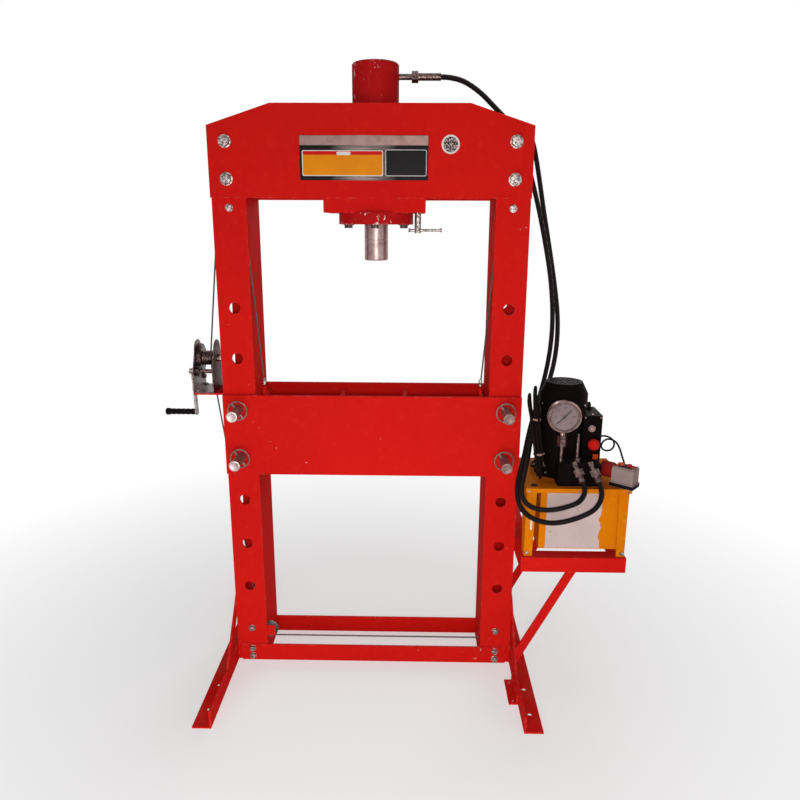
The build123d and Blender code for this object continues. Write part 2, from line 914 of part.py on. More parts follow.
def pulley(x, z, groove, bore):
    """A grooved rope pulley on an axle along Y."""
    half = pulley_width / 2
    edge = groove + pulley_rim
    root = groove - rope_dia / 2 - groove_gap
    mouth = half * groove_half_share
    y = rope_plane_y
    profile = [
        (bore, y - half),
        (edge, y - half),
        (edge, y - mouth - rope_dia / 2),
        (root, y - rope_dia / 4),
        (root, y + rope_dia / 4),
        (edge, y + mouth + rope_dia / 2),
        (edge, y + half),
        (bore, y + half),
    ]
    return turned_y(profile, x, z)


def pulley_axles():
    """Stub axles bolted through the front flanges, and the guide pulley's own pin in its ears."""
    group = []
    front = -half_depth
    end = rope_plane_y + pulley_width / 2 + fit_gap
    head = head_height_share * axle_dia
    for x, z in ((-pin_x, top_pulley_z), (pin_x, top_pulley_z), (pin_x, low_pulley_z)):
        axle = hexagon((x, front - head, z), (x, front, z), head_flats_share * axle_dia)
        axle += rod((x, front, z), (x, end, z), axle_dia / 2)
        axle += rod((x, end, z), (x, end + head, z), axle_dia)
        group.append(axle)
    group.append(bolt((-pin_x, front, low_pulley_z), (0, 1, 0), upright_wall, axle_dia))
    return group


def guide_bracket():
    """Two ears on the web's inner face that hold the guide pulley's pin."""
    inner = -web_x
    half = pulley_width / 2 + fit_gap
    x1 = -guide_pulley_x + guide_ear_size / 2
    z0 = guide_z - guide_ear_size / 2
    z1 = guide_z + guide_ear_size / 2
    shape = None
    for y in (rope_plane_y - half - guide_ear_thick, rope_plane_y + half):
        ear = block(inner, x1, y, y + guide_ear_thick, z0, z1)
        shape = ear if shape is None else shape + ear
    shape += rod((-guide_pulley_x, rope_plane_y - half - guide_ear_thick, guide_z),
                 (-guide_pulley_x, rope_plane_y + half + guide_ear_thick, guide_z), axle_dia / 2)
    return shape


def tangent_point(point, centre, radius, turn):
    """Where a line from a point in X and Z touches a circle; turn is 1 or -1 for the side."""
    dx = centre[0] - point[0]
    dz = centre[1] - point[1]
    span = math.hypot(dx, dz)
    angle = math.atan2(dz, dx) + turn * math.asin(radius / span)
    run = math.sqrt(span * span - radius * radius)
    return point[0] + run * math.cos(angle), point[1] + run * math.sin(angle)


def rope_height(x):
    """Height at which the run from the bed to the top pulley passes a place across the press."""
    touch = tangent_point((eye_rope_x, eye_top), (pin_x, top_pulley_z), rope_groove, 1)
    return eye_top + (touch[1] - eye_top) * (x - eye_rope_x) / (touch[0] - eye_rope_x)


web_slot_low = rope_height(web_x) - web_slot_margin
web_slot_high = rope_height(web_x + upright_wall) + web_slot_margin


def in_plane(spot):
    """A point of the rope's plane from its X and Z."""
    return Vector(spot[0], rope_plane_y, spot[1])


def wrap(start, end, centre, way):
    """The arc of rope round a pulley, bulging the given way in X and Z."""
    radius = math.hypot(start[0] - centre[0], start[1] - centre[1])
    size = math.hypot(*way)
    middle = (centre[0] + way[0] / size * radius, centre[1] + way[1] / size * radius)
    return ThreePointArc(in_plane(start), in_plane(middle), in_plane(end))


def to_drum(touch, spot):
    """A straight run from a pulley to the drum that leaves the rope's plane in one gentle bend."""
    first = in_plane(touch)
    last = Vector(*spot)
    bend = first + (Vector(last.X, rope_plane_y, last.Z) - first) * rope_bend_share
    return FilletPolyline(first, bend, last, radius=rope_groove / rope_bend_share)


rope_bend_share = 0.2


def tube(path, radius):
    """A round cord along a path."""
    section = Plane(origin=path @ 0, z_dir=path % 0) * Circle(radius)
    return sweep(section, path=path)


def left_lift_rope():
    """From the bed's left eye over the top-left pulley and down to the drum's front."""
    eye = (-eye_rope_x, eye_top)
    centre = (-pin_x, top_pulley_z)
    drum = (winch_side + winch_width * left_rope_share, drum_y - wound_radius, drum_z)
    rise = tangent_point(eye, centre, rope_groove, -1)
    fall = tangent_point((drum[0], drum[2]), centre, rope_groove, 1)
    path = Line(in_plane(eye), in_plane(rise)) + wrap(rise, fall, centre, (0, 1)) + to_drum(fall, drum)
    return tube(path, rope_dia / 2)


def right_lift_rope():
    """From the bed's right eye over the top-right pulley, down, across the floor and up to the drum's back."""
    eye = (eye_rope_x, eye_top)
    top = (pin_x, top_pulley_z)
    low = (pin_x, low_pulley_z)
    guide = (-guide_pulley_x, guide_z)
    drum = (winch_side + winch_width * right_rope_share, drum_y + wound_radius, drum_z)
    rise = tangent_point(eye, top, rope_groove, 1)
    over = (pin_x + rope_groove, top_pulley_z)
    down = (pin_x + rope_groove, low_pulley_z)
    across = (pin_x, low_pulley_z - rope_groove)
    reach = (-guide_pulley_x, guide_z - guide_groove)
    lift = tangent_point((drum[0], drum[2]), guide, guide_groove, -1)
    path = Line(in_plane(eye), in_plane(rise)) + wrap(rise, over, top, (0, 1))
    path += Line(in_plane(over), in_plane(down)) + wrap(down, across, low, (1, -1))
    path += Line(in_plane(across), in_plane(reach)) + wrap(reach, lift, guide, (-1, -1))
    path += to_drum(lift, drum)
    return tube(path, rope_dia / 2)


drum_left = winch_side + winch_wall
drum_right = winch_side + winch_width - winch_wall
down_share = (drum_z - bracket_top) / (drum_z - guide_z)


def rope_hole(z0, z1):
    """The hole that lets the lower rope through the winch's foot."""
    drum_x = winch_side + winch_width * right_rope_share
    x = drum_x * (1 - down_share) - (guide_pulley_x + guide_groove) * down_share
    y = (drum_y + wound_radius) * (1 - down_share) + rope_plane_y * down_share
    return rod((x, y, z0 - overrun), (x, y, z1 + overrun), web_rope_hole / 2)


def winch_bracket():
    """The shelf plate on the left upright that carries the winch."""
    low = bracket_top - bracket_thick
    shape = block(winch_side - bracket_lip, -half_width, winch_y - bracket_half_depth,
                  winch_y + bracket_half_depth, low, bracket_top)
    return shape - rope_hole(low, bracket_top)


def winch_frame():
    """A folded sheet with two eared side plates and the drum's fixed axle."""
    x0 = winch_side
    x1 = winch_side + winch_width
    y0 = winch_y - winch_half_depth
    y1 = winch_y + winch_half_depth
    shoulder = bracket_top + winch_height * winch_shoulder_share
    ear = winch_half_depth * (1 - winch_shoulder_share)
    ear_z = bracket_top + winch_height - ear
    outline = [
        (y0, bracket_top),
        (y1, bracket_top),
        (y1, shoulder),
        (winch_y + ear, ear_z),
        (winch_y - ear, ear_z),
        (y0, shoulder),
    ]
    shape = block(x0, x1, y0, y1, bracket_top, bracket_top + winch_wall)
    for x in (x0, x1 - winch_wall):
        shape += plate_yz(outline, x, x + winch_wall)
        shape += rod((x, winch_y, ear_z), (x + winch_wall, winch_y, ear_z), ear)
    shape -= rod((x0 - overrun, crank_y, crank_z), (x1 + overrun, crank_y, crank_z), shaft_dia / 2 + run_gap)
    shape += rod((x0, drum_y, drum_z), (x1, drum_y, drum_z), shaft_dia / 2)
    shape += rod((x0, pawl_y, pawl_z), (drum_left + drum_side_gap + gear_thick, pawl_y, pawl_z), pawl_pin_dia / 2)
    return shape - rope_hole(bracket_top, bracket_top + winch_wall)


def gear(teeth, x0, x1, y, z, phase):
    """A spur gear along X with straight-sided teeth, one of them centred on the phase angle."""
    root = gear_module * (teeth / 2 - dedendum_share)
    tip = gear_module * (teeth / 2 + addendum_share)
    pitch = 2 * math.pi / teeth
    points = []
    for tooth in range(teeth):
        middle = math.radians(phase) + tooth * pitch
        flank = ((root, tooth_root_share), (tip, tooth_tip_share))
        corners = [(radius, -share) for radius, share in flank] + list(reversed(flank))
        for radius, share in corners:
            angle = middle + share * pitch
            points.append((y + radius * math.cos(angle), z + radius * math.sin(angle)))
    return plate_yz(points, x0, x1)


addendum_share = 1.0
dedendum_share = 1.25


def winch_drum():
    """The rope drum with its gear, bored for the axle and wound with rope."""
    bore = shaft_dia / 2 + run_gap
    gear_x0 = drum_left + drum_side_gap
    gear_x1 = gear_x0 + gear_thick
    end = drum_right - drum_side_gap
    inner0 = gear_x1 + drum_flange_thick
    inner1 = end - drum_flange_thick
    turn = (inner1 - inner0) / wound_turns
    crest = wound_radius - rope_dia / 2 - groove_gap
    profile = [(gear_x0, bore), (gear_x0, drum_dia / 2), (gear_x1, drum_dia / 2), (gear_x1, drum_flange_dia / 2),
               (inner0, drum_flange_dia / 2)]
    for index in range(wound_turns):
        profile.append((inner0 + index * turn, crest - rope_dia / 4))
        profile.append((inner0 + (index + 1 / 2) * turn, crest))
    profile.append((inner1, crest - rope_dia / 4))
    profile += [(inner1, drum_flange_dia / 2), (end, drum_flange_dia / 2), (end, bore)]
    shape = turned_x(profile, drum_y, drum_z)
    half_turn = math.degrees(math.pi)
    half_tooth = half_turn / gear_teeth
    wheel = gear(gear_teeth, gear_x0, gear_x1, drum_y, drum_z, gear_lean + half_turn + half_tooth)
    return shape + (wheel - rod((gear_x0 - overrun, drum_y, drum_z), (gear_x1 + overrun, drum_y, drum_z), bore))


arm_out = winch_side - crank_gap
arm_end = arm_out - crank_thick
swing = math.radians(crank_swing)
grip_y = crank_y + crank_length * math.sin(swing)
grip_z = crank_z - crank_length * math.cos(swing)


def winch_pinion():
    """The crank shaft with its pinion, running in both side plates."""
    x0 = drum_left + drum_side_gap
    shape = rod((arm_end - winch_wall, crank_y, crank_z),
                (winch_side + winch_width, crank_y, crank_z), shaft_dia / 2)
    return shape + gear(pinion_teeth, x0, x0 + pinion_thick, crank_y, crank_z, gear_lean)


def crank_arm():
    """The flat crank arm with rounded ends and the spindle of its grip."""
    half = crank_width / 2
    shape = rod((arm_end, crank_y, crank_z), (arm_out, crank_y, crank_z), half)
    shape += rod((arm_end, grip_y, grip_z), (arm_out, grip_y, grip_z), half)
    dy = half * math.cos(swing)
    dz = half * math.sin(swing)
    outline = [
        (crank_y - dy, crank_z - dz),
        (crank_y + dy, crank_z + dz),
        (grip_y + dy, grip_z + dz),
        (grip_y - dy, grip_z - dz),
    ]
    shape += plate_yz(outline, arm_end, arm_out)
    shape -= rod((arm_end - overrun, crank_y, crank_z), (arm_out + overrun, crank_y, crank_z),
                 shaft_dia / 2 + run_gap)
    spindle = grip_length - grip_dia / 2
    return shape + rod((arm_end - spindle, grip_y, grip_z), (arm_end, grip_y, grip_z), grip_bore / 2)


def crank_grip():
    """The ringed plastic grip, thickest at its outer end and blind on the spindle."""
    bore = grip_bore / 2 + run_gap
    inner = arm_end - fit_gap
    outer = inner - grip_length
    deep = arm_end - grip_length + grip_dia / 2 - fit_gap
    big = grip_dia / 2
    profile = [(inner, bore), (inner, big * grip_waist_share)]
    ring = grip_length * grip_ring_share / grip_rings
    for index in range(grip_rings):
        start = inner - ring * index
        profile.append((start - ring * grip_waist_share, big * grip_swell_share))
        profile.append((start - ring, big * grip_waist_share))
    profile += [(outer + grip_dia / 2, big), (outer + big / 4, big), (outer, big * grip_waist_share), (outer, 0)]
    profile += [(deep, 0), (deep, bore)]
    return turned_x(profile, grip_y, grip_z)


grip_waist_share = 0.78
grip_swell_share = 0.9
grip_ring_share = 0.8
pawl_y = drum_y + pawl_out
pawl_z = drum_z - pawl_drop


def ratchet_pawl():
    """The pawl below the drum gear, swung just clear of its teeth."""
    x0 = drum_left + drum_side_gap
    x1 = x0 + pawl_thick
    away = math.hypot(drum_y - pawl_y, drum_z - pawl_z)
    tip = gear_module * (gear_teeth / 2 + addendum_share)
    reach = away - tip - mesh_gap * 2
    uy = (drum_y - pawl_y) / away
    uz = (drum_z - pawl_z) / away
    half = pawl_pin_dia
    outline = [
        (pawl_y - uz * half, pawl_z + uy * half),
        (pawl_y + uz * half, pawl_z - uy * half),
        (pawl_y + uy * reach + uz * half * pawl_nose_share, pawl_z + uz * reach - uy * half * pawl_nose_share),
        (pawl_y + uy * reach - uz * half * pawl_nose_share, pawl_z + uz * reach + uy * half * pawl_nose_share),
    ]
    shape = plate_yz(outline, x0, x1) + rod((x0, pawl_y, pawl_z), (x1, pawl_y, pawl_z), half)
    return shape - rod((x0 - overrun, pawl_y, pawl_z), (x1 + overrun, pawl_y, pawl_z), pawl_pin_dia / 2 + run_gap)


def pump_shelf():
    """An open frame of angle iron with a pair of slanting struts, welded into one piece."""
    x0 = shelf_x
    x1 = shelf_x + shelf_length
    y = shelf_half_depth
    low = shelf_top - shelf_leg
    shape = block(x0, x1, -y, y, low, shelf_top)
    shape -= block(x0 + shelf_wall, x1 - shelf_wall, -y + shelf_wall, y - shelf_wall,
                   low - overrun, shelf_top - shelf_wall)
    shape -= block(x0 + shelf_leg, x1 - shelf_leg, -y + shelf_leg, y - shelf_leg, low, shelf_top + overrun)
    foot_x = half_width + foot_wall
    top_x = shelf_x + strut_shelf_x
    under = shelf_top - shelf_wall
    slope = math.atan2(under - strut_low_z, top_x - foot_x)
    wide = strut_width / math.sin(slope)
    tall = strut_width / math.cos(slope)
    outline = [
        (foot_x, strut_low_z - tall / 2),
        (top_x + wide / 2, under),
        (top_x - wide / 2, under),
        (foot_x, strut_low_z + tall / 2),
    ]
    for side in (-1, 1):
        shape += plate_xz(outline, side * strut_y - strut_thick / 2, side * strut_y + strut_thick / 2)
        reach = block(top_x - shelf_leg, top_x + shelf_leg, side * strut_y - strut_thick / 2,
                      side * strut_y + strut_thick / 2, under - shelf_wall, under)
        shape += reach
    return shape


def tank_leg(side):
    """A sheet end leg: a side plate arched between its two feet, with a tapered front flange."""
    mid = cover_x + cover_length / 2
    outside = mid + side * (cover_length / 2 - leg_lead)
    inside = outside - side * leg_sheet
    x0, x1 = sorted((outside, inside))
    y0 = -leg_front
    y1 = y0 + leg_depth
    arch = shelf_top + leg_arch_rise
    lean = leg_depth * leg_arch_side_share
    outline = [
        (y0, shelf_top),
        (y0 + leg_foot_depth, shelf_top),
        (y0 + lean, arch),
        (y1 - lean, arch),
        (y1 - leg_foot_depth, shelf_top),
        (y1, shelf_top),
        (y1, cover_under),
        (y0, cover_under),
    ]
    shape = plate_yz(outline, x0, x1)
    flange = [
        (outside, shelf_top),
        (outside - side * leg_flange_foot, shelf_top),
        (outside - side * leg_flange_top, cover_under),
        (outside, cover_under),
    ]
    return shape + plate_xz(flange, y0, y0 + leg_sheet)


def oil_tank():
    """A folded sheet tank, open at the top under its cover."""
    x1 = tank_x + tank_length
    y0 = -tank_front
    y1 = y0 + tank_depth
    shape = block(tank_x, x1, y0, y1, tank_bottom, cover_under)
    return shape - block(tank_x + tank_sheet, x1 - tank_sheet, y0 + tank_sheet, y1 - tank_sheet,
                         tank_bottom + tank_sheet, cover_top)


def tank_cover():
    """The cover plate with a folded lip all round and a filler hole."""
    x1 = cover_x + cover_length
    y0 = -cover_front
    y1 = y0 + cover_depth
    shape = block(cover_x, x1, y0, y1, cover_top - cover_lip, cover_top)
    shape -= block(cover_x + cover_sheet, x1 - cover_sheet, y0 + cover_sheet, y1 - cover_sheet,
                   cover_top - cover_lip - overrun, cover_under)
    x = cover_x + filler_dia * 2
    y = y0 + filler_dia * 2
    return shape - rod((x, y, cover_under - overrun), (x, y, cover_top + overrun), filler_dia / 2)


def motor_body():
    """The motor's turned shell on its foot flange, with a recess at the top for the fan's shaft."""
    profile = [
        (0, cover_top),
        (motor_foot_dia / 2, cover_top),
        (motor_foot_dia / 2, cover_top + motor_foot_thick),
        (motor_dia / 2, cover_top + motor_foot_thick),
        (motor_dia / 2, motor_top),
        (fan_shaft_dia / 2 + run_gap, motor_top),
        (fan_shaft_dia / 2 + run_gap, motor_top - fan_rise),
        (0, motor_top - fan_rise),
    ]
    return turned(profile, motor_x, motor_y)


def fan_cover():
    """The pressed fan cover with a coned shoulder and a field of vents in its top."""
    outer = fan_cover_dia / 2
    top = fan_cover_top_dia / 2
    sheet = fan_cover_sheet
    profile = [
        (motor_dia / 2 + fit_gap, fan_cover_low),
        (outer, fan_cover_low),
        (outer, fan_cover_shoulder),
        (top, fan_cover_top),
        (0, fan_cover_top),
        (0, fan_cover_top - sheet),
        (top - sheet, fan_cover_top - sheet),
        (outer - sheet, fan_cover_shoulder - sheet),
        (outer - sheet, motor_top),
        (motor_dia / 2 + fit_gap, motor_top),
    ]
    shape = turned(profile, motor_x, motor_y)
    plane = Plane(origin=(motor_x, motor_y, fan_cover_top - sheet * 2))
    for ring in range(1, vent_rings + 1):
        for vent in range(6 * ring):
            angle = 2 * math.pi * vent / (6 * ring)
            spot = Pos(ring * vent_pitch * math.cos(angle), ring * vent_pitch * math.sin(angle))
            shape -= extrude(plane * spot * RegularPolygon(vent_size / 2, 6), amount=sheet * 3)
    return shape


def motor_fan():
    """The cooling fan on its shaft stub: a hub with straight blades."""
    low = motor_top + fan_rise / 2
    shape = rod((motor_x, motor_y, motor_top - fan_rise), (motor_x, motor_y, low), fan_shaft_dia / 2)
    shape += rod((motor_x, motor_y, low), (motor_x, motor_y, low + fan_height), fan_hub_dia / 2)
    for blade in range(fan_blades):
        vane = block(0, fan_dia / 2, -fan_blade_thick / 2, fan_blade_thick / 2, low, low + fan_height)
        shape += Pos(motor_x, motor_y, 0) * Rot(0, 0, 360 * blade / fan_blades) * vane
    return shape


def valve_block():
    """The drilled valve block in front of the motor, chamfered along its top."""
    shape = block(block_x, block_x + block_length, -block_front, -block_front + block_depth, cover_top, block_top)
    return chamfer(shape.edges().group_by(Axis.Z)[-1], block_chamfer)


def valve_fittings():
    """The gauge's stem with its swivel nut, and the relief screw with its lock nut."""
    gauge_low = gauge_z - gauge_dia / 2 - gauge_neck_length
    stem = rod((stem_x, stem_y, block_top), (stem_x, stem_y, gauge_low), stem_dia / 2)
    stem += hexagon((stem_x, stem_y, gauge_low - stem_nut_height), (stem_x, stem_y, gauge_low), stem_nut_flats)
    relief = rod((relief_x, stem_y, block_top), (relief_x, stem_y, block_top + relief_height), relief_dia / 2)
    relief += hexagon((relief_x, stem_y, block_top), (relief_x, stem_y, block_top + relief_nut_height),
                      relief_nut_flats)
    return stem, relief


gauge_front = stem_y - gauge_depth / 2 - gauge_bezel
gauge_back = gauge_front + gauge_depth
dial_y = gauge_front + gauge_dial_drop


def gauge_case():
    """The gauge's cup with its bezel, dial floor and neck."""
    radius = gauge_dia / 2
    profile = [
        (0, gauge_back),
        (radius - gauge_wall * 2, gauge_back),
        (radius - gauge_wall, gauge_back - gauge_wall),
        (radius - gauge_wall, gauge_front + gauge_bezel * 2),
        (radius, gauge_front + gauge_bezel * 2),
        (radius, gauge_front + gauge_wall),
        (radius - gauge_wall, gauge_front),
        (radius - gauge_bezel, gauge_front),
        (radius - gauge_bezel, dial_y),
        (0, dial_y),
    ]
    shape = turned_y(profile, stem_x, gauge_z)
    low = gauge_z - radius - gauge_neck_length
    neck_top = gauge_z - radius + gauge_wall * 2
    return shape + rod((stem_x, stem_y, low), (stem_x, stem_y, neck_top), gauge_neck_dia / 2)


def gauge_lens():
    """The flat glass in the gauge's bezel."""
    radius = gauge_dia / 2 - gauge_bezel - run_gap
    back = gauge_front + gauge_lens_thick + gauge_wall * lens_seat_share
    return rod((stem_x, back - gauge_lens_thick, gauge_z), (stem_x, back, gauge_z), radius)


def gauge_needle():
    """The needle on its hub, at rest on zero at the lower left."""
    gap = (gauge_dial_drop - gauge_lens_thick) * needle_gap_share
    half = needle_width / 2
    outline = [
        (-half, -needle_tail),
        (half, -needle_tail),
        (half * needle_tip_share, needle_length),
        (-half * needle_tip_share, needle_length),
    ]
    plane = Plane(origin=(stem_x, dial_y - gap, gauge_z), x_dir=(1, 0, 0), z_dir=(0, -1, 0))
    face = Rot(0, 0, -needle_rest) * make_face(Polyline(*outline, close=True))
    shape = extrude(plane * face, amount=needle_thick)
    hub = rod((stem_x, dial_y - run_gap, gauge_z), (stem_x, dial_y - gap - needle_thick * 2, gauge_z),
              needle_hub_dia / 2)
    return shape + hub


knob_x = control_x + knob_lead
rocker_x = control_x + rocker_lead
rocker_y = -control_front + rocker_depth * rocker_seat_share


def control_box():
    """The control box, hollowed to sit on the motor's shell, with seats for the knob and the rocker."""
    x1 = control_x + control_length
    y0 = -control_front
    y1 = y0 + control_depth
    shape = block(control_x, x1, y0, y1, control_low, control_low + control_height)
    shape = fillet(shape.edges().filter_by(Axis.Z), control_round)
    shape -= rod((motor_x, motor_y, cover_top), (motor_x, motor_y, motor_top), motor_dia / 2 + weld_gap)
    deep = knob_stem_length + knob_travel + fit_gap
    shape -= rod((knob_x, y0 - overrun, knob_z), (knob_x, y0 + deep, knob_z), knob_stem_dia / 2 + run_gap)
    half_x = rocker_width / 2 + fit_gap
    half_z = rocker_height / 2 + bezel_wall / 2
    frame_x = half_x + bezel_wall
    frame_z = half_z + bezel_wall
    shape += block(rocker_x - frame_x, rocker_x + frame_x, y0 - bezel_wall, y0,
                   rocker_z - frame_z, rocker_z + frame_z)
    return shape - block(rocker_x - half_x, rocker_x + half_x, y0 - overrun, y0 + rocker_depth * 2,
                         rocker_z - half_z, rocker_z + half_z)


def stop_knob():
    """The red push knob on its stem."""
    y = -control_front
    cap = y - knob_stem_length
    radius = knob_dia / 2
    profile = [
        (0, y + knob_stem_length),
        (knob_stem_dia / 2, y + knob_stem_length),
        (knob_stem_dia / 2, cap),
        (radius * knob_waist_share, cap),
        (radius, cap - knob_height * knob_rim_share),
        (radius, cap - knob_height * knob_waist_share),
        (radius * knob_waist_share, cap - knob_height),
        (0, cap - knob_height),
    ]
    return turned_y(profile, knob_x, knob_z)


knob_waist_share = 0.72
knob_rim_share = 0.25


def rocker_switch():
    """The rocker, creased along its middle and pivoted on two short trunnions."""
    half_z = rocker_height / 2
    back = rocker_y + rocker_depth / 2
    crease = rocker_y - rocker_depth * rocker_crease_share
    edge = rocker_y - rocker_depth / 2
    outline = [
        (back, -half_z * rocker_back_share),
        (back, half_z * rocker_back_share),
        (crease, half_z),
        (edge, half_z),
        (crease, 0),
        (edge, -half_z),
        (crease, -half_z),
    ]
    points = [(y, rocker_z + z) for y, z in outline]
    return plate_yz(points, rocker_x - rocker_width / 2, rocker_x + rocker_width / 2)


def at_switch(shape):
    """Turn and move a piece of the switch box from its own frame to its place on the cover."""
    return Pos(switch_x, switch_y, cover_top) * Rot(0, 0, switch_turn) * shape


def switch_box():
    """The start and stop box: a rounded housing on a wider foot, drilled for its two buttons."""
    x = switch_length / 2
    y = switch_width / 2
    shape = block(-x, x, -y, y, 0, switch_base)
    body = block(-x + shroud_wall, x - shroud_wall, -y + shroud_wall, y - shroud_wall, switch_base, switch_height)
    body = chamfer(body.edges().group_by(Axis.Z)[-1], switch_round)
    shape += body
    for way in (-1, 1):
        spot = way * button_pitch / 2
        deep = switch_height - button_stem_length - button_travel - fit_gap
        shape -= rod((spot, 0, deep), (spot, 0, switch_height + overrun), button_stem_dia / 2 + run_gap)
    return at_switch(shape)


def switch_shroud():
    """The round inlet shroud with its key rib, on the switch box's end."""
    radius = shroud_dia / 2
    z = shroud_rise
    end = -switch_length / 2 + shroud_wall
    start = end - shroud_length
    shape = rod((start, 0, z), (end, 0, z), radius)
    shape -= rod((start - overrun, 0, z), (end - shroud_wall, 0, z), radius - shroud_wall)
    top = z + radius
    shape += block(start, end, -shroud_key / 2, shroud_key / 2, top - shroud_wall / 2, top + shroud_wall)
    return at_switch(shape - block(end - shroud_wall, end, -switch_width, switch_width, 0, switch_base))


def push_button(way):
    """A round button on the switch box, on its own stem."""
    spot = way * button_pitch / 2
    cap = switch_height + button_travel + fit_gap
    shape = rod((spot, 0, switch_height - button_stem_length), (spot, 0, cap), button_stem_dia / 2)
    return at_switch(shape + rod((spot, 0, cap), (spot, 0, cap + button_height), button_dia / 2))


def hose_fitting(start, way, lead, length):
    """An adapter, swivel nut and crimped ferrule in one line."""
    start = Vector(*start)
    way = Vector(*way).normalized()
    nut = start + way * lead
    shape = rod(start, nut, fitting_dia / 2)
    shape += hexagon(nut, nut + way * fitting_nut_length, fitting_nut_flats)
    shape += rod(nut + way * fitting_nut_length, start + way * length, fitting_ferrule_dia / 2)
    return shape


barrel_side = head_offset + barrel_radius
upper_fitting_start = (barrel_side, 0, upper_port_z)
lower_fitting_start = (barrel_side, 0, lower_port_z)
pump_lead = fitting_lead * pump_lead_share
pump_fitting_starts = [(x, -block_front, coupling_z) for x in coupling_x]


def hose_fittings():
    """Fittings at the barrel's two ports and at the valve block."""
    group = [
        hose_fitting(upper_fitting_start, (1, 0, 0), fitting_lead, upper_fitting_length),
        hose_fitting(lower_fitting_start, (1, 0, 0), fitting_lead, lower_fitting_length),
    ]
    slab = block(block_x, block_x + block_length, -block_front, 0, cover_top, block_top)
    for start in pump_fitting_starts:
        inside = Vector(*start) - Vector(*coupling_turn).normalized() * fitting_dia
        whole = hose_fitting(inside, coupling_turn, fitting_dia + pump_lead, fitting_dia + pump_fitting_length)
        group.append(whole - slab)
    return group


def fitting_end(start, way, length):
    """The point where a hose leaves its ferrule."""
    return Vector(*start) + Vector(*way).normalized() * length


def cord_path(points):
    """Straight runs joined by tangent arcs, each as large as its two runs allow."""
    spots = [Vector(*point) for point in points]
    radii = []
    for before, corner, after in zip(spots, spots[1:], spots[2:]):
        run = min((corner - before).length, (after - corner).length)
        turn = math.radians((corner - before).get_angle(after - corner))
        radii.append(cord_arc_share * run / math.tan(turn / 2))
    return FilletPolyline(*spots, radius=radii), radii


cord_arc_share = 0.45


def cord(name, points, dia):
    """A plain tube along a cord's route; prints its tightest bend and its length."""
    path, radii = cord_path(points)
    shape = tube(path, dia / 2)
    ratio = shape.volume / (math.pi * dia * dia / 4 * path.length)
    print(name, "length", round(path.length), "tightest radius", round(min(radii)), "volume ratio", round(ratio, 4))
    return shape


def cable_hank():
    """The outer shape of the tied hank of power cable, leaning beside the motor."""
    lean = math.radians(hank_tilt)
    drop = (hank_length - hank_width) / 2 * math.sin(lean) + hank_width / 2
    plane = Plane(origin=(hank_x, hank_y + hank_thick / 2, cover_top + fit_gap + drop),
                  x_dir=(math.cos(lean), 0, math.sin(lean)), z_dir=(0, -1, 0))
    return extrude(plane * SlotOverall(hank_length, hank_width), amount=hank_thick)


keep("left_upright", upright(-1), guide_bracket())
keep("right_upright", upright(1))
keep("left_foot", foot(-1))
keep("right_foot", foot(1))
for side, label in ((-1, "front"), (1, "rear")):
    keep(label + "_crosshead_plate", crosshead_plate(side))
    keep(label + "_bed_plate", bed_plate(side))
keep("tie_bars", tie_bar(-1), tie_bar(1))
keep("frame_bolts", *frame_bolts(), *flange_bolts(), *pulley_axles())
keep("head_plate", head_plate())
keep("cylinder_barrel", cylinder_barrel())
keep("cylinder_flange", cylinder_flange())
keep("gland_bush", gland_bush())
keep("ram", ram())
keep("ram_nose", ram_nose())
keep("lock_screw", lock_screw())
keep("tommy_bar", tommy_bar())
keep("bed_ribs", *bed_ribs(), *rope_eyes())
for row, index in (("upper", upper_pin_index), ("lower", lower_pin_index)):
    for side, label in ((-1, "left"), (1, "right")):
        spot = (side * pin_x, pin_z(index))
        keep(row + "_" + label + "_pin", bed_pin(*spot), lynch_pin(*spot))
axle_bore = axle_dia / 2 + run_gap
keep("top_left_pulley", pulley(-pin_x, top_pulley_z, rope_groove, axle_bore))
keep("top_right_pulley", pulley(pin_x, top_pulley_z, rope_groove, axle_bore))
keep("low_right_pulley", pulley(pin_x, low_pulley_z, rope_groove, axle_bore))
keep("guide_pulley", pulley(-guide_pulley_x, guide_z, guide_groove, axle_bore))
keep("left_lift_rope", left_lift_rope())
keep("right_lift_rope", right_lift_rope())
keep("winch_bracket", winch_bracket())
keep("winch_frame", winch_frame())
keep("winch_drum", winch_drum())
keep("winch_pinion", winch_pinion())
keep("crank_arm", crank_arm())
keep("crank_grip", crank_grip())
keep("ratchet_pawl", ratchet_pawl())
keep("pump_shelf", pump_shelf())
keep("tank_legs", tank_leg(-1), tank_leg(1))
keep("oil_tank", oil_tank())
keep("tank_cover", tank_cover())
keep("motor_body", motor_body())
keep("fan_cover", fan_cover())
keep("motor_fan", motor_fan())
keep("valve_block", valve_block())
keep("gauge_case", gauge_case())
keep("gauge_lens", gauge_lens())
keep("gauge_needle", gauge_needle())
keep("control_box", control_box())
keep("stop_knob", stop_knob())
keep("rocker_switch", rocker_switch())
keep("switch_box", switch_box())
keep("switch_shroud", switch_shroud())
keep("start_button", push_button(-1))
keep("off_button", push_button(1))
keep("fittings", *hose_fittings(), *valve_fittings())
upper_end = fitting_end(upper_fitting_start, (1, 0, 0), upper_fitting_length)
lower_end = fitting_end(lower_fitting_start, (1, 0, 0), lower_fitting_length)
pump_reach = pump_fitting_length + fit_gap
pump_ends = [fitting_end(start, coupling_turn, pump_reach) for start in pump_fitting_starts]
keep("pressure_hose", cord("pressure_hose", [upper_end, *pressure_route, pump_ends[1]], hose_dia))
keep("return_hose", cord("return_hose", [lower_end, *return_route, pump_ends[0]], hose_dia))
keep("signal_cable", cord("signal_cable", signal_route, signal_dia))
keep("power_cable", cord("power_cable", power_route, cable_dia))
keep("cable_hank", cable_hank())

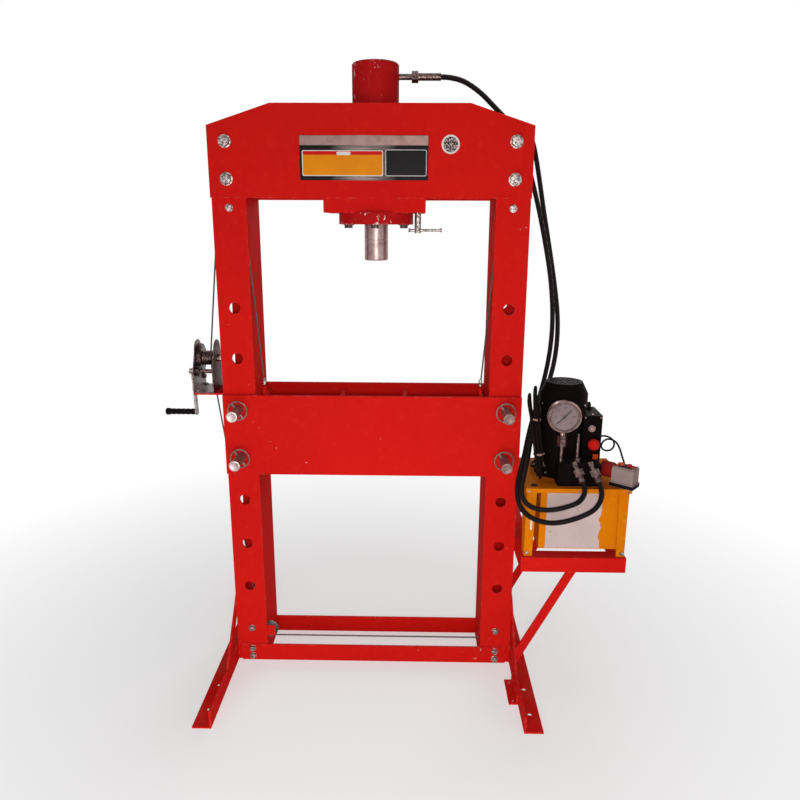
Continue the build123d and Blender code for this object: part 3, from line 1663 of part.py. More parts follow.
os.makedirs("parts", exist_ok=True)
for name, shape in nodes.items():
    export_step(shape, "parts/" + name + ".step")
print(len(nodes), "nodes")
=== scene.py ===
# %% [markdown]
# # Dressing a workshop press
# The press is a red welded frame with an oil cylinder in its head, a bed that hangs on four pins,
# a small hand winch that lifts the bed, and a yellow oil tank with an electric pump on a shelf.
# Its solids come from a CAD model, which also says what moves. Blender gives it what a CAD model
# leaves out: paint and metal, the hoses, the coiled lead, weld beads, plates and small fittings.
# Everything is in metres in the CAD model's own frame, so nothing has to be fitted by eye.

import math

import bmesh
import bpy
from mathutils import Matrix, Vector, noise


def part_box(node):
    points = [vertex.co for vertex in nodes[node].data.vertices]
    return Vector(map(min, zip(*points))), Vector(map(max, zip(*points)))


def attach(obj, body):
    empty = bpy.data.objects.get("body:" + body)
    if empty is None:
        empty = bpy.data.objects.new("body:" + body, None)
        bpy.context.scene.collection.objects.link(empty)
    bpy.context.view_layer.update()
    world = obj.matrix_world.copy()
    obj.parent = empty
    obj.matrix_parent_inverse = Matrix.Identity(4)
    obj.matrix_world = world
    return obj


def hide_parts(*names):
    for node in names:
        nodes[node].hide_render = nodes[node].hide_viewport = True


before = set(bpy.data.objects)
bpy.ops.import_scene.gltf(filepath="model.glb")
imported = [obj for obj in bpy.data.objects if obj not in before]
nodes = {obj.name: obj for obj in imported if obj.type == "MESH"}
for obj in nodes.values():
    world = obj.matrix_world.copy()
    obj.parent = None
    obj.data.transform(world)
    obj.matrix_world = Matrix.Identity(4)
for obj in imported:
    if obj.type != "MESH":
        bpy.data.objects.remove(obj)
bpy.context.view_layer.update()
print("loaded", len(nodes), "nodes of the press")

# %% [markdown]
# ## The camera
# The photograph was taken a little above the middle of the press, looking slightly down. The
# place, the three turns and the lens were worked out from the corners of the frame, whose sizes
# are known. A camera looks along its own -Z, so it is tipped up by a quarter turn less the drop.

# %% Camera
camera_place = Vector((0.1290, -2.2613, 1.5203))
camera_heading = -0.0173
camera_drop = 0.2494
camera_roll = -0.0041


def placed(name, data):
    """Makes an object of its data and puts it in the scene."""
    made = bpy.data.objects.new(name, data)
    bpy.context.scene.collection.objects.link(made)
    return made


eye = bpy.data.cameras.new("eye")
eye.lens = 31.0
eye.sensor_width = 36.0
eye_object = placed("eye", eye)
turn = Matrix.Rotation(-camera_heading, 4, "Z")
turn @= Matrix.Rotation(math.pi / 2 - camera_drop, 4, "X")
turn @= Matrix.Rotation(-camera_roll, 4, "Z")
eye_object.matrix_world = Matrix.Translation(camera_place) @ turn
bpy.context.scene.camera = eye_object
bpy.context.scene.view_settings.view_transform = "Standard"
print("camera at", tuple(camera_place))

# %% [markdown]
# ## Small helpers for shader nodes
# A material is a tree of nodes, and writing each link by hand is long. `add` makes one node and
# sets its inputs by name: a plain value is typed in, and another node's output is linked.
# `paint_value` turns the 0 to 255 numbers of a paint program into Blender's linear colours.


# %% Node helpers
def paint_value(red, green, blue):
    linear = []
    for level in (red, green, blue):
        share = level / 255
        linear.append(share / 12.92 if share <= 0.04045 else ((share + 0.055) / 1.055) ** 2.4)
    return (*linear, 1.0)


def fill(tree, socket, value):
    """Links a node's output to a socket, or types a plain value in."""
    if isinstance(value, bpy.types.NodeSocket):
        tree.links.new(value, socket)
    else:
        socket.default_value = value


def add(tree, kind, **words):
    made = tree.nodes.new("ShaderNode" + kind)
    for word, value in words.items():
        name = word.replace("_", " ")
        if name in made.inputs:
            fill(tree, made.inputs[name], value)
        else:
            setattr(made, word, value)
    return made


def object_place(tree):
    return add(tree, "TexCoord").outputs["Object"]


print("node helpers ready")


# %% Value helpers
def masked(tree, value, low, high):
    """Turns a grey pattern into a mask: 0 under low, 1 over high."""
    return add(tree, "MapRange", Value=value, From_Min=low, From_Max=high).outputs[0]


def spread(tree, value, low, high, **limits):
    """Carries a value from 0 to 1, or from other limits, over to low and high."""
    return add(tree, "MapRange", Value=value, To_Min=low, To_Max=high, **limits).outputs[0]


def worked(tree, operation, first, second=0.0):
    """One step of arithmetic; a step on a single value leaves the second alone."""
    step = add(tree, "Math", operation=operation)
    for socket, value in zip(step.inputs, (first, second)):
        fill(tree, socket, value)
    return step.outputs[0]


def mixed(tree, mask, first, second):
    """The first colour where the mask is 0, the second where it is 1."""
    return add(tree, "MixRGB", Fac=mask, Color1=first, Color2=second).outputs[0]


def cloudy(tree, place, scale, detail, roughness=0.5):
    """A grey noise pattern."""
    made = add(tree, "TexNoise", Vector=place, Scale=scale, Detail=detail, Roughness=roughness)
    return made.outputs[0]


print("value helpers ready")


# %% Material helpers
def new_material(name):
    material = bpy.data.materials.new(name)
    material.use_nodes = True
    tree = material.node_tree
    tree.nodes.clear()
    shader = add(tree, "BsdfPrincipled")
    add(tree, "OutputMaterial", Surface=shader.outputs[0])
    return material, tree, shader


def surface(tree, shader, colour, rough, height=None, strength=0.0, depth=0.0, specular=None):
    """Gives a shader its colour, its roughness and, where there is a height, its bump."""
    tree.links.new(colour, shader.inputs["Base Color"])
    tree.links.new(rough, shader.inputs["Roughness"])
    if height is not None:
        bump = add(tree, "Bump", Strength=strength, Distance=depth, Height=height)
        tree.links.new(bump.outputs[0], shader.inputs["Normal"])
    if specular is not None:
        shader.inputs["Specular IOR Level"].default_value = specular


print("material helpers ready")

# %% [markdown]
# ## Floor, backdrop and light
# The press stands on a plain pale floor in soft studio light. A floor that ends shows a grey
# horizon, so its far part fades into the same white that the world shows to the camera. Only what
# the camera, mirrors and glass see is changed that way: the light on the press stays plain.


# %% Floor and world
def seen_directly(tree):
    """1 for what the camera, mirrors and glass see, 0 for the light on the press."""
    rays = add(tree, "LightPath").outputs
    seen = worked(tree, "MAXIMUM", rays["Is Camera Ray"], rays["Is Glossy Ray"])
    return worked(tree, "MAXIMUM", seen, rays["Is Transmission Ray"])


def blended(tree, share, first, second):
    blend = add(tree, "MixShader", Fac=share)
    tree.links.new(first.outputs[0], blend.inputs[1])
    tree.links.new(second.outputs[0], blend.inputs[2])
    return blend.outputs[0]


pure_white = (1, 1, 1, 1)
floor_shape = bmesh.new()
bmesh.ops.create_circle(floor_shape, cap_ends=True, segments=96, radius=30)
floor_data = bpy.data.meshes.new("floor")
floor_shape.to_mesh(floor_data)
floor_shape.free()
floor = placed("floor", floor_data)

floor_material, tree, shader = new_material("pale_floor")
shader.inputs["Base Color"].default_value = (0.9, 0.9, 0.9, 1)
shader.inputs["Roughness"].default_value = 0.9
reach = add(tree, "VectorMath", operation="LENGTH", Vector=object_place(tree)).outputs["Value"]
far = spread(tree, reach, 0.45, 1.0, From_Min=0.7, From_Max=2.2)
white = add(tree, "Emission", Color=pure_white, Strength=1.0)
fading = blended(tree, worked(tree, "MULTIPLY", far, seen_directly(tree)), shader, white)
tree.links.new(fading, tree.nodes["Material Output"].inputs["Surface"])
floor_data.materials.append(floor_material)

world = bpy.data.worlds.new("studio")
world.use_nodes = True
tree = world.node_tree
tree.nodes.clear()
soft = add(tree, "Background", Color=pure_white, Strength=0.25)
shown = add(tree, "Background", Color=pure_white, Strength=1.0)
add(tree, "OutputWorld", Surface=blended(tree, seen_directly(tree), soft, shown))
bpy.context.scene.world = world
print("floor and backdrop ready")


# %% Lamps
def soft_lamp(name, place, aim, size, power):
    lamp = bpy.data.lights.new(name, "AREA")
    lamp.shape = "DISK"
    lamp.size = size
    lamp.energy = power
    lamp_object = placed(name, lamp)
    lamp_object.location = place
    lamp_object.rotation_euler = (Vector(aim) - Vector(place)).to_track_quat("-Z", "Y").to_euler()


soft_lamp("key", (0.13, -2.38, 1.44), (0.05, 0, 0.5), 0.24, 17)
soft_lamp("low", (-0.1, -2.1, 0.5), (0, 0, 0.6), 1.4, 16)
soft_lamp("side", (2.8, -1.8, 1.5), (0.2, 0, 0.9), 2.0, 4)
soft_lamp("back", (0.6, 2.8, 2.6), (0, 0, 1.0), 2.0, 34)
print("four soft lamps ready")

# %% [markdown]
# ## Shared effects as node groups
# Paint, metal and rubber all need the same few effects: uneven tone, worn edges, chips, dust and a
# fine grain. Each is a node group with named inputs, built once and placed in every material with
# its own values. A group only puts out colours, masks and values; the shader stays outside.


# %% Group helper
def new_group(name, inputs, outputs):
    group = bpy.data.node_groups.new(name, "ShaderNodeTree")
    kinds = {float: "NodeSocketFloat", tuple: "NodeSocketColor", Vector: "NodeSocketVector"}
    for word, value in inputs.items():
        socket = group.interface.new_socket(word, in_out="INPUT", socket_type=kinds[type(value)])
        socket.default_value = value
    for word, kind in outputs.items():
        group.interface.new_socket(word, in_out="OUTPUT", socket_type=kinds[kind])
    start = group.nodes.new("NodeGroupInput")
    end = group.nodes.new("NodeGroupOutput")
    return group, start.outputs, end.inputs, object_place(group)


def use(tree, group, **words):
    made = tree.nodes.new("ShaderNodeGroup")
    made.node_tree = group
    for word, value in words.items():
        fill(tree, made.inputs[word], value)
    return made.outputs[0]


print("group helpers ready")

# %% Uneven tone
mid_grey = (0.5, 0.5, 0.5, 1.0)
whole = (1.0, 1.0, 1.0, 1.0)
uneven_tone, given, result, place = new_group(
    "uneven_tone", {"Colour": whole, "Deep": mid_grey, "Pale": whole, "Scale": 3.0, "Amount": 0.5},
    {"Colour": tuple},
)
cloud = cloudy(uneven_tone, place, given["Scale"], 5.0)
speckle = cloudy(uneven_tone, place, worked(uneven_tone, "MULTIPLY", given["Scale"], 23.0), 3.0)
deep_part = worked(uneven_tone, "MULTIPLY", masked(uneven_tone, cloud, 0.42, 0.7), given["Amount"])
pale_part = worked(uneven_tone, "MULTIPLY", masked(uneven_tone, speckle, 0.55, 0.8), given["Amount"])
deeper = mixed(uneven_tone, deep_part, given["Colour"], given["Deep"])
uneven_tone.links.new(mixed(uneven_tone, pale_part, deeper, given["Pale"]), result["Colour"])


def toned(tree, colour, deep, pale, scale, amount):
    """A colour that drifts to a deep and a pale one, all three as paint values."""
    return use(tree, uneven_tone, Colour=paint_value(*colour), Deep=paint_value(*deep),
               Pale=paint_value(*pale), Scale=scale, Amount=amount)


print("group", uneven_tone.name)

# %% Worn edges
worn_edges, given, result, place = new_group(
    "worn_edges", {"Width": 0.002, "Scale": 40.0, "Amount": 0.5}, {"Mask": float}
)
rounded = add(worn_edges, "Bevel", samples=4, Radius=given["Width"])
true_face = add(worn_edges, "NewGeometry")
turned = add(worn_edges, "VectorMath", operation="DOT_PRODUCT")
worn_edges.links.new(rounded.outputs[0], turned.inputs[0])
worn_edges.links.new(true_face.outputs["Normal"], turned.inputs[1])
edge = masked(worn_edges, turned.outputs["Value"], 0.995, 0.9)
patchy = masked(worn_edges, cloudy(worn_edges, place, given["Scale"], 4.0, 0.7), 0.52, 0.6)
mask = worked(worn_edges, "MULTIPLY", edge, patchy)
worn_edges.links.new(worked(worn_edges, "MULTIPLY", mask, given["Amount"]), result["Mask"])
print("group", worn_edges.name)

# %% Chips
chips, given, result, place = new_group(
    "chips", {"Scale": 30.0, "Cover": 0.3, "Stretch": Vector((1.0, 1.0, 1.0))}, {"Mask": float}
)
drawn = add(chips, "Mapping", vector_type="POINT", Vector=place, Scale=given["Stretch"])
patch = cloudy(chips, drawn.outputs[0], given["Scale"], 6.0, 0.65)
region = cloudy(chips, place, 4.0, 2.0)
level = worked(chips, "ADD", patch, worked(chips, "MULTIPLY", region, 0.5))
over = worked(chips, "SUBTRACT", level, worked(chips, "SUBTRACT", 1.2, given["Cover"]))
chips.links.new(masked(chips, over, 0.0, 0.02), result["Mask"])
print("group", chips.name)

# %% Settled dust
settled_dust, given, result, place = new_group(
    "settled_dust", {"Scale": 12.0, "Amount": 0.3}, {"Mask": float}
)
facing = add(settled_dust, "SeparateXYZ", Vector=add(settled_dust, "NewGeometry").outputs["Normal"])
upward = masked(settled_dust, facing.outputs["Z"], 0.5, 1.0)
drift = masked(settled_dust, cloudy(settled_dust, place, given["Scale"], 6.0), 0.35, 0.75)
thick = worked(settled_dust, "MULTIPLY", upward, drift)
settled_dust.links.new(worked(settled_dust, "MULTIPLY", thick, given["Amount"]), result["Mask"])
print("group", settled_dust.name)

# %% Fine grain
fine_grain, given, result, place = new_group(
    "fine_grain", {"Scale": 400.0, "Stretch": Vector((1.0, 1.0, 1.0))}, {"Height": float}
)
stretched = add(fine_grain, "Mapping", vector_type="POINT", Vector=place, Scale=given["Stretch"])
fine_grain.links.new(cloudy(fine_grain, stretched.outputs[0], given["Scale"], 3.0), result["Height"])
print("group", fine_grain.name)

# %% [markdown]
# ## Painted steel
# The frame is sprayed in one thick coat of red and the tank in yellow. Real paint isn't one flat
# colour: the tone drifts, edges are rubbed to bare primer, knocks leave chips, and dust lies on top. On the
# yellow, the brown-red patches on upward faces are dust and painted reflection in one.
# One function makes every paint, because they are the same work with other values.


# %% Paint
def painted(name, colour, deep, pale, under, cover, dust, shine,
            grit=48.0, streak=(1, 1, 1), dust_and_reflection_tone=(150, 120, 108)):
    material, tree, shader = new_material(name)
    tone = toned(tree, colour, deep, pale, 2.2, 0.55)
    rubbed = use(tree, worn_edges, Width=0.0016, Scale=55.0, Amount=0.75)
    knocked = use(tree, chips, Scale=grit, Cover=cover, Stretch=Vector(streak))
    bare = worked(tree, "MAXIMUM", rubbed, knocked)
    chipped = mixed(tree, bare, tone, paint_value(*under))
    # upward faces get dust; on the yellow, its brown-red patches are also painted reflection
    dusty = use(tree, settled_dust, Scale=9.0, Amount=dust)
    dulled = mixed(tree, dusty, chipped, paint_value(*dust_and_reflection_tone))
    smear = use(tree, fine_grain, Scale=14.0, Stretch=Vector((1, 1, 0.4)))
    rough = spread(tree, smear, shine - 0.1, shine + 0.14)
    rough = worked(tree, "ADD", rough, worked(tree, "MULTIPLY", dusty, 0.3))
    peel = worked(tree, "MULTIPLY", use(tree, fine_grain, Scale=260.0), 0.22)
    height = worked(tree, "SUBTRACT", peel, bare)
    surface(tree, shader, dulled, rough, height, 0.35, 0.0006, specular=0.02)
    return material


press_red = painted(
    "press_red", (212, 27, 21), (192, 22, 23), (222, 40, 28), (196, 160, 150), 0.19, 0.14, 0.74
)
cylinder_red = painted(
    "cylinder_red", (188, 24, 26), (158, 18, 24), (208, 40, 34), (226, 218, 212), 0.305, 0.16, 0.54,
    grit=90.0, streak=(1, 1, 0.45),
)
# the strong brown-red tone on upward faces is dust and painted reflection
pump_yellow = painted(
    "pump_yellow", (220, 122, 5), (198, 94, 4), (230, 146, 30), (128, 84, 58), 0.27, 0.8, 0.6,
    dust_and_reflection_tone=(150, 70, 22),
)
print("paints", press_red.name, cylinder_red.name, pump_yellow.name)

# %% [markdown]
# ## Metals
# Bolts, pins and fittings are zinc plated, a dull grey with a brown cast where the plating is thin.
# The ram is ground and polished. Pulleys are dark cast iron, and the rope is twisted wire.


# %% Metal
def metal(name, colour, deep, pale, rough, grain, depth,
          stretch=(1, 1, 1), mottle=34.0, metallic=1.0, contrast=0.9):
    material, tree, shader = new_material(name)
    tone = toned(tree, colour, deep, pale, mottle, contrast)
    worn = use(tree, worn_edges, Width=0.001, Scale=160.0, Amount=0.6)
    rubbed = mixed(tree, worn, tone, paint_value(*pale))
    lines = use(tree, fine_grain, Scale=grain, Stretch=Vector(stretch))
    surface(tree, shader, rubbed, spread(tree, lines, rough - 0.12, rough + 0.16), lines, 0.4, depth)
    shader.inputs["Metallic"].default_value = metallic
    return material


zinc = metal("zinc", (176, 162, 157), (36, 22, 21), (230, 224, 220), 0.4, 300.0, 0.0008,
             mottle=170.0, contrast=1.7)
oiled_zinc = metal("oiled_zinc", (104, 80, 76), (30, 18, 18), (190, 168, 162), 0.34, 260.0, 0.001,
                   mottle=130.0, contrast=1.5)
bright_steel = metal("bright_steel", (158, 134, 130), (118, 90, 88), (190, 176, 172), 0.36, 60.0, 0.0004,
                     stretch=(1, 1, 16))
cut_steel = metal("cut_steel", (184, 168, 164), (138, 116, 112), (214, 208, 206), 0.42, 500.0, 0.0004,
                  mottle=120.0)
pin_steel = metal("pin_steel", (134, 104, 99), (88, 60, 57), (184, 164, 158), 0.46, 320.0, 0.0006,
                  mottle=90.0, metallic=0.5)
pulley_iron = metal("pulley_iron", (96, 94, 92), (58, 50, 46), (150, 148, 144), 0.5, 220.0, 0.0008)
chrome = metal("chrome", (150, 116, 110), (66, 34, 32), (222, 208, 202), 0.2, 90.0, 0.0001)
# dark finish of the gauge's inner ring: painted shade and painted dark reflection
bezel_painted_shade = metal("bezel_painted_shade", (74, 38, 35), (28, 12, 12), (150, 104, 96), 0.3, 120.0, 0.0002,
                   mottle=60.0)
metals = (zinc, oiled_zinc, bright_steel, cut_steel, pin_steel, pulley_iron, chrome, bezel_painted_shade)
print("metals", ", ".join(finish.name for finish in metals))

# %% Wire rope
wire_rope, tree, shader = new_material("wire_rope")
lay = add(tree, "TexWave", Vector=object_place(tree), Scale=150.0, Distortion=0.6, Detail=1.0,
          bands_direction="DIAGONAL").outputs["Fac"]
strand = mixed(tree, lay, paint_value(34, 30, 30), paint_value(118, 110, 106))
surface(tree, shader, strand, spread(tree, lay, 0.6, 0.36), lay, 0.8, 0.001)
shader.inputs["Metallic"].default_value = 0.9
print("rope", wire_rope.name)

# %% [markdown]
# ## Plastics and rubber
# The motor, the control box and the valve block are black with a satin skin; the knob, the shroud
# and the switch are moulded plastic. They share one recipe: a faint drift of tone, a fine moulded
# grain, pale rubbed edges and dust on top.


# %% Moulded
def moulded(name, colour, deep, pale, rough, grain, dust):
    material, tree, shader = new_material(name)
    tone = toned(tree, colour, deep, pale, 14.0, 0.5)
    rubbed = use(tree, worn_edges, Width=0.0012, Scale=90.0, Amount=0.4)
    edged = mixed(tree, rubbed, tone, paint_value(*pale))
    dusty = use(tree, settled_dust, Scale=18.0, Amount=dust)
    dulled = mixed(tree, dusty, edged, paint_value(140, 124, 114))
    skin = use(tree, fine_grain, Scale=grain)
    rough = spread(tree, skin, rough - 0.08, rough + 0.12)
    surface(tree, shader, dulled, rough, skin, 0.3, 0.0005, specular=0.02)
    return material


motor_black = moulded("motor_black", (17, 9, 10), (9, 5, 6), (42, 27, 28), 0.52, 320.0, 0.07)
fan_grey = moulded("fan_grey", (70, 66, 66), (44, 40, 40), (110, 104, 102), 0.5, 300.0, 0.3)
grip_black = moulded("grip_black", (22, 17, 18), (14, 13, 13), (60, 56, 55), 0.55, 420.0, 0.2)
red_plastic = moulded("red_plastic", (196, 26, 22), (150, 18, 20), (232, 80, 62), 0.36, 240.0, 0.12)
shroud_red = moulded("shroud_red", (150, 24, 24), (112, 16, 18), (190, 60, 54), 0.42, 240.0, 0.15)
orange_plastic = moulded("orange_plastic", (232, 82, 24), (200, 56, 16), (246, 130, 70), 0.36, 240.0, 0.1)
switch_grey = moulded("switch_grey", (158, 136, 132), (132, 108, 104), (190, 174, 170), 0.5, 380.0, 0.2)
needle_black = moulded("needle_black", (16, 14, 14), (10, 9, 9), (40, 38, 38), 0.45, 500.0, 0.0)
cable_rubber = moulded("cable_rubber", (26, 16, 16), (17, 12, 12), (62, 50, 48), 0.55, 600.0, 0.08)
print("moulded finishes ready")

# %% [markdown]
# Hydraulic hose has a ribbed skin and a pale broken line along one side, which shows whether it was
# twisted when it was fitted. Both follow the hose, so they read its UV map: U runs along the hose
# and V round it.

# %% Hose rubber
hose_rubber, tree, shader = new_material("hose_rubber")
along = add(tree, "SeparateXYZ", Vector=add(tree, "TexCoord").outputs["UV"]).outputs
tone = toned(tree, (22, 15, 16), (13, 9, 10), (58, 46, 46), 14.0, 0.5)
dashes = worked(tree, "SINE", worked(tree, "MULTIPLY", along["X"], 800.0))
off_line = worked(tree, "ABSOLUTE", worked(tree, "SUBTRACT", along["Y"], 0.3))
line = spread(tree, off_line, 1.0, 0.0, From_Min=0.022, From_Max=0.03)
line = worked(tree, "MULTIPLY", line, masked(tree, dashes, 0.1, 0.3))
marked = mixed(tree, line, tone, paint_value(150, 132, 128))
ribs = worked(tree, "SINE", worked(tree, "MULTIPLY", along["X"], 2400.0))
rough = spread(tree, ribs, 0.62, 0.42, From_Min=-1.0)
surface(tree, shader, marked, rough, ribs, 0.7, 0.0006, specular=0.1)
print("hose", hose_rubber.name)

# %% Gauge glass
gauge_glass, tree, shader = new_material("gauge_glass")
shader.inputs["Base Color"].default_value = pure_white
shader.inputs["Transmission Weight"].default_value = 1.0
shader.inputs["IOR"].default_value = 1.45
film = use(tree, fine_grain, Scale=40.0)
tree.links.new(spread(tree, film, 0.0, 0.08), shader.inputs["Roughness"])
print("glass", gauge_glass.name)

# %% [markdown]
# ## A finish for every solid
# Each solid keeps its CAD mesh and only gets its material. The list below is the parts list of the
# press, read as a painter would: what is red, what is plated, what is moulded.

# %% Finishes
finishes = {
    press_red: "left_upright right_upright left_foot right_foot front_crosshead_plate"
    " rear_crosshead_plate front_bed_plate rear_bed_plate tie_bars head_plate bed_ribs"
    " winch_bracket pump_shelf",
    cylinder_red: "cylinder_barrel cylinder_flange",
    zinc: "frame_bolts lock_screw tommy_bar crank_arm",
    pin_steel: "upper_left_pin upper_right_pin lower_left_pin lower_right_pin",
    oiled_zinc: "fittings winch_frame winch_drum winch_pinion ratchet_pawl",
    bright_steel: "ram ram_nose gland_bush",
    chrome: "gauge_case",
    pulley_iron: "top_left_pulley top_right_pulley low_right_pulley guide_pulley",
    wire_rope: "left_lift_rope right_lift_rope",
    pump_yellow: "tank_legs oil_tank tank_cover",
    motor_black: "motor_body fan_cover valve_block control_box",
    fan_grey: "motor_fan",
    grip_black: "crank_grip",
    red_plastic: "stop_knob off_button",
    shroud_red: "switch_shroud",
    orange_plastic: "rocker_switch start_button",
    switch_grey: "switch_box",
    gauge_glass: "gauge_lens",
    needle_black: "gauge_needle",
    hose_rubber: "pressure_hose return_hose",
    cable_rubber: "signal_cable power_cable cable_hank",
}
finished = 0
for material, names in finishes.items():
    for name in names.split():
        for holder in nodes[name].material_slots:
            holder.material = material
        finished += 1
print("finished", finished, "of", len(nodes), "nodes")

# %% [markdown]
# ## Hoses and cables
# Two rubber hoses run from the cylinder, over the head and down behind the right upright, then loop
# round the front of the tank into the valve block. Each is one smooth NURBS curve through the same
# route as its CAD tube, with a round bevel, so it bends as a hose does. The order and the end points
# are set after the points are added, or the curve falls back to straight runs.


# %% Cord helper
def millimetres(*points):
    return [Vector(point) / 1000 for point in points]


def cord_curve(name, route, diameter, material):
    curve = bpy.data.curves.new(name, "CURVE")
    curve.dimensions = "3D"
    spline = curve.splines.new("NURBS")
    spline.points.add(len(route) - 1)
    for point, place in zip(spline.points, route):
        point.co = (*place, 1)
    spline.order_u = 3
    spline.use_endpoint_u = True
    curve.resolution_u = 6
    curve.bevel_depth = diameter / 2
    curve.bevel_resolution = 4
    curve.use_fill_caps = True
    curve.materials.append(material)
    piece = placed(name, curve)
    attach(piece, "frame")
    return piece


print("cord helper ready")

# %% Pressure hose
pressure_route = millimetres(
    (209.5, 0, 1953), (258, 0, 1953), (326, 20, 1920), (384, 64, 1876), (442, 118, 1836),
    (500, 148, 1740), (540, 144, 1612), (574, 133, 1474), (602, 123, 1334), (615, 118, 1196),
    (607, 108, 1072), (576, 62, 960), (530, -16, 856), (499, -104, 768), (470, -176, 714),
    (467, -228, 668), (496, -260, 636), (556, -278, 622), (620, -282, 634), (686.7, -279.5, 662.5),
    (708.6, -273.4, 685.0), (719.0, -263.4, 707.8), (719.7, -251.5, 728.7), (712.56, -239.61, 745.35),
)
pressure_hose = cord_curve("pressure_hose_skin", pressure_route, 0.016, hose_rubber)
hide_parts("pressure_hose")
print("pressure hose has", len(pressure_route), "route points")

# %% Return hose
return_route = millimetres(
    (183.5, 0, 1652), (228, 0, 1652), (290, 12, 1688), (338, 34, 1762), (394, 54, 1830),
    (464, 80, 1841), (516, 136, 1800), (546, 168, 1698), (570, 170, 1576), (596, 163, 1450),
    (619, 149, 1324), (634, 127, 1206), (626, 86, 1098), (600, 40, 1008), (556, -16, 918),
    (524, -80, 842), (507, -140, 788), (486, -196, 748), (472, -240, 712), (484, -272, 684),
    (524, -286, 671), (580, -283, 672), (640.2, -268.9, 685.1), (658.2, -264.9, 700.5),
    (667.0, -257.7, 716.9), (668.1, -248.8, 732.5), (662.56, -239.61, 745.35),
)
return_hose = cord_curve("return_hose_skin", return_route, 0.016, hose_rubber)
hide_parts("return_hose")
print("return hose has", len(return_route), "route points")

# %% Signal cable
signal_route = millimetres(
    (742, -60, 838), (753, -60, 840), (769, -63, 844), (786, -67, 841), (799, -71, 830), (802, -75, 815),
    (794, -79, 802), (778, -82, 797), (762, -84, 802), (754, -86, 815), (758, -88, 831), (771, -91, 842),
    (788, -95, 841), (802, -100, 831), (810, -108, 815), (814, -120, 797), (817, -134, 782),
    (819, -148, 770), (818.5, -160.5, 761), (807.5, -174.5, 756),
)
signal_cable = cord_curve("signal_cable_skin", signal_route, 0.006, cable_rubber)
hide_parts("signal_cable")
print("signal cable has", len(signal_route), "route points")

# %% [markdown]
# The mains lead leaves the control box, runs round behind the motor and is folded into a hank that
# stands between the motor and the upright, as a machine is delivered. The hank's turns are more
# points of the same curve: up the back, over the top, down the front and round the foot. Two ties
# pinch the runs together, and above and below them the folds open out, each turn with its own height
# and lean, because loose turns never lie exactly alike.

# %% Mains lead and its hank
power_route = millimetres(
    (720, -50, 762), (720, -49.5, 752), (718, -42, 743), (711, -24, 737), (696, 2, 733), (668, 24, 731),
    (632, 34, 730), (596, 30, 730.5), (564, 12, 730), (543, -16, 731), (534, -50, 734), (534, -84, 742),
    (538, -110, 752), (541, -123, 758),
)
hank_turns = [
    # head of the fold, foot of the fold, and how far the turn lies beside the tie's middle
    ((500, -150, 984), (540, -150, 756), -10.5),
    ((517, -151, 1008), (549, -150, 748), 0),
    ((527, -149, 958), (556, -150, 762), 10.5),
]
tie_middle, foot_tie_middle = millimetres((522, -150, 922), (540, -150, 806))
fold = 0.021
pinch = 0.0055
back = Vector((0.25, 1, 0)).normalized()
upright = Vector((0, 0, 1))


def half_turn(middle, way):
    """The five points of a fold: over the head for a way of 1, round the foot for -1."""
    angles = [math.pi * step / 4 for step in range(5)]
    return [middle + (back * math.cos(angle) + upright * math.sin(angle)) * fold * way for angle in angles]


for head, foot, beside in hank_turns:
    head, foot = millimetres(head, foot)
    upper = tie_middle + Vector((beside / 1000, 0, 0))
    lower = foot_tie_middle + Vector((beside / 1000, 0, 0))
    belly = upper.lerp(head, 0.55)
    power_route += [lower + back * pinch, upper + back * pinch, belly + back * fold * 0.8]
    power_route += half_turn(head, 1)
    power_route += [belly - back * fold * 0.8, upper - back * pinch, lower - back * pinch]
    power_route += half_turn(foot, -1)
power_route = power_route[:-5]
power_route.append(power_route[-1] + Vector((0.003, -0.003, -0.022)))
power_cable = cord_curve("power_cable_skin", power_route, 0.010, cable_rubber)
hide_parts("power_cable", "cable_hank")
print("mains lead has", len(power_route), "route points")

# %% [markdown]
# ## Making small pieces
# The CAD solids carry the shape of the press. What is left is small: plates, bolts, beads, a dial.
# Each starts as an empty bmesh, gets its form from a few operators, and is closed by `shape_piece`,
# which merges doubles, turns the faces outward, marks sharp edges and lets the piece ride on a body.


# %% Piece helper
def shape_piece(name, shape, material, body="frame", slot="", crease=32):
    bmesh.ops.remove_doubles(shape, verts=shape.verts, dist=1e-6)
    bmesh.ops.recalc_face_normals(shape, faces=shape.faces)
    data = bpy.data.meshes.new(name)
    shape.to_mesh(data)
    shape.free()
    data.shade_smooth()
    data.set_sharp_from_angle(angle=math.radians(crease))
    data.materials.append(material)
    piece = placed(name, data)
    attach(piece, body)
    return piece


def edges_of(made):
    return list({edge for vert in made["verts"] for edge in vert.link_edges})


def rounded_off(shape, edges, offset, segments):
    bmesh.ops.bevel(
        shape, geom=edges, offset=offset, offset_type="OFFSET", affect="EDGES", segments=segments,
        profile=0.5, material=-1,
    )


def slab(shape, low, high, edge=0.0003, turn=Matrix()):
    """A bevelled block between two corners in millimetres."""
    low, high = millimetres(low, high)
    place = turn @ Matrix.Translation((low + high) / 2) @ Matrix.Diagonal((*(high - low), 1))
    made = bmesh.ops.create_cube(shape, size=1, matrix=place)
    rounded_off(shape, edges_of(made), edge, 2)


print("piece helpers ready")


# %% Turned shapes
def lathe(shape, half_section, centre, axis, share=1.0, steps=40):
    """Spins (radius, height) points in millimetres about an axis; a part turn gives an open ring."""
    centre = Vector(centre) / 1000
    axis = Vector(axis).normalized()
    across = axis.orthogonal().normalized()
    dots = [shape.verts.new(centre + (across * r + axis * h) / 1000) for r, h in half_section]
    lines = [shape.edges.new(pair) for pair in zip(dots, dots[1:])]
    if share < 1:
        lines.append(shape.edges.new((dots[-1], dots[0])))
    bmesh.ops.spin(
        shape, geom=dots + lines, cent=centre, axis=axis, angle=math.tau * share, steps=steps,
        use_merge=share == 1,
    )
    if share < 1:
        open_edges = [edge for edge in shape.edges if edge.is_boundary]
        bmesh.ops.holes_fill(shape, edges=open_edges, sides=len(dots))


